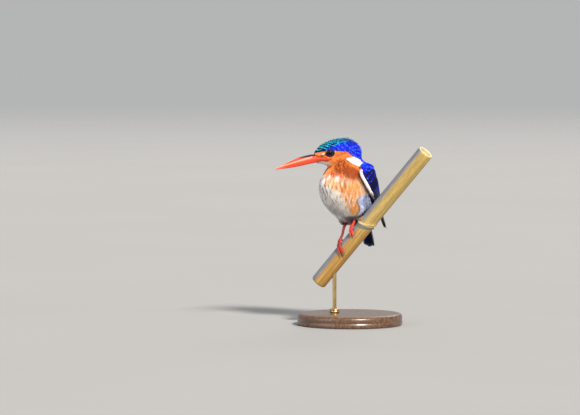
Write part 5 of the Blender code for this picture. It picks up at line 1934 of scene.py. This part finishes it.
# ------------------------------------------------------------------------------------------ operators
class KINGFISHER_OT_skin(bpy.types.Operator):
    """Model the skin of head, neck and trunk, and lay the coat on it"""

    bl_idname = "kingfisher.skin"
    bl_label = "Skin and coat"

    def execute(self, context):
        make_coat(make_skin())
        return {"FINISHED"}


class KINGFISHER_OT_wings(bpy.types.Operator):
    """Model both folded wings, feather by feather"""

    bl_idname = "kingfisher.wings"
    bl_label = "Wings"

    def execute(self, context):
        make_wings()
        return {"FINISHED"}


class KINGFISHER_OT_tail(bpy.types.Operator):
    """Model the tail's quills and coverts"""

    bl_idname = "kingfisher.tail"
    bl_label = "Tail"

    def execute(self, context):
        make_tail()
        return {"FINISHED"}


class KINGFISHER_OT_bill(bpy.types.Operator):
    """Model the two mandibles"""

    bl_idname = "kingfisher.bill"
    bl_label = "Bill"

    def execute(self, context):
        make_bill()
        return {"FINISHED"}


class KINGFISHER_OT_eyes(bpy.types.Operator):
    """Model the eyes and their lids"""

    bl_idname = "kingfisher.eyes"
    bl_label = "Eyes"

    def execute(self, context):
        make_eyes()
        return {"FINISHED"}


class KINGFISHER_OT_legs(bpy.types.Operator):
    """Model the legs, toes and claws"""

    bl_idname = "kingfisher.legs"
    bl_label = "Legs"

    def execute(self, context):
        make_legs()
        return {"FINISHED"}


class KINGFISHER_OT_reed(bpy.types.Operator):
    """Model the length of reed that the bird sits on"""

    bl_idname = "kingfisher.reed"
    bl_label = "Reed"

    def execute(self, context):
        make_reed()
        return {"FINISHED"}


class KINGFISHER_OT_stand(bpy.types.Operator):
    """Model the display stand"""

    bl_idname = "kingfisher.stand"
    bl_label = "Stand"

    def execute(self, context):
        make_stand()
        return {"FINISHED"}


class KINGFISHER_OT_stage(bpy.types.Operator):
    """Set up the floor, the lights and the camera"""

    bl_idname = "kingfisher.stage"
    bl_label = "Stage"

    def execute(self, context):
        make_stage()
        return {"FINISHED"}


OPERATORS = (
    KINGFISHER_OT_stage,
    KINGFISHER_OT_skin,
    KINGFISHER_OT_wings,
    KINGFISHER_OT_tail,
    KINGFISHER_OT_bill,
    KINGFISHER_OT_eyes,
    KINGFISHER_OT_legs,
    KINGFISHER_OT_reed,
    KINGFISHER_OT_stand,
)


class KINGFISHER_PT_panel(bpy.types.Panel):
    """Lists every step of the model in the sidebar"""

    bl_idname = "KINGFISHER_PT_panel"
    bl_label = "Kingfisher"
    bl_space_type = "VIEW_3D"
    bl_region_type = "UI"
    bl_category = "Kingfisher"

    def draw(self, context):
        for operator in OPERATORS:
            self.layout.operator(operator.bl_idname)
        for group in (context.scene.kingfisher_sizes, context.scene.kingfisher_colours):
            box = self.layout.box()
            for name in group.__annotations__:
                box.prop(group, name)


CLASSES = (KingfisherSizes, KingfisherColours, *OPERATORS, KINGFISHER_PT_panel)


def register():
    for item in CLASSES:
        bpy.utils.register_class(item)
    bpy.types.Scene.kingfisher_sizes = bpy.props.PointerProperty(type=KingfisherSizes)
    bpy.types.Scene.kingfisher_colours = bpy.props.PointerProperty(type=KingfisherColours)


def unregister():
    del bpy.types.Scene.kingfisher_colours
    del bpy.types.Scene.kingfisher_sizes
    for item in reversed(CLASSES):
        bpy.utils.unregister_class(item)


def main():
    register()
    for operator in OPERATORS:
        getattr(bpy.ops.kingfisher, operator.bl_idname.split(".")[1])()


if __name__ == "__main__":
    main()
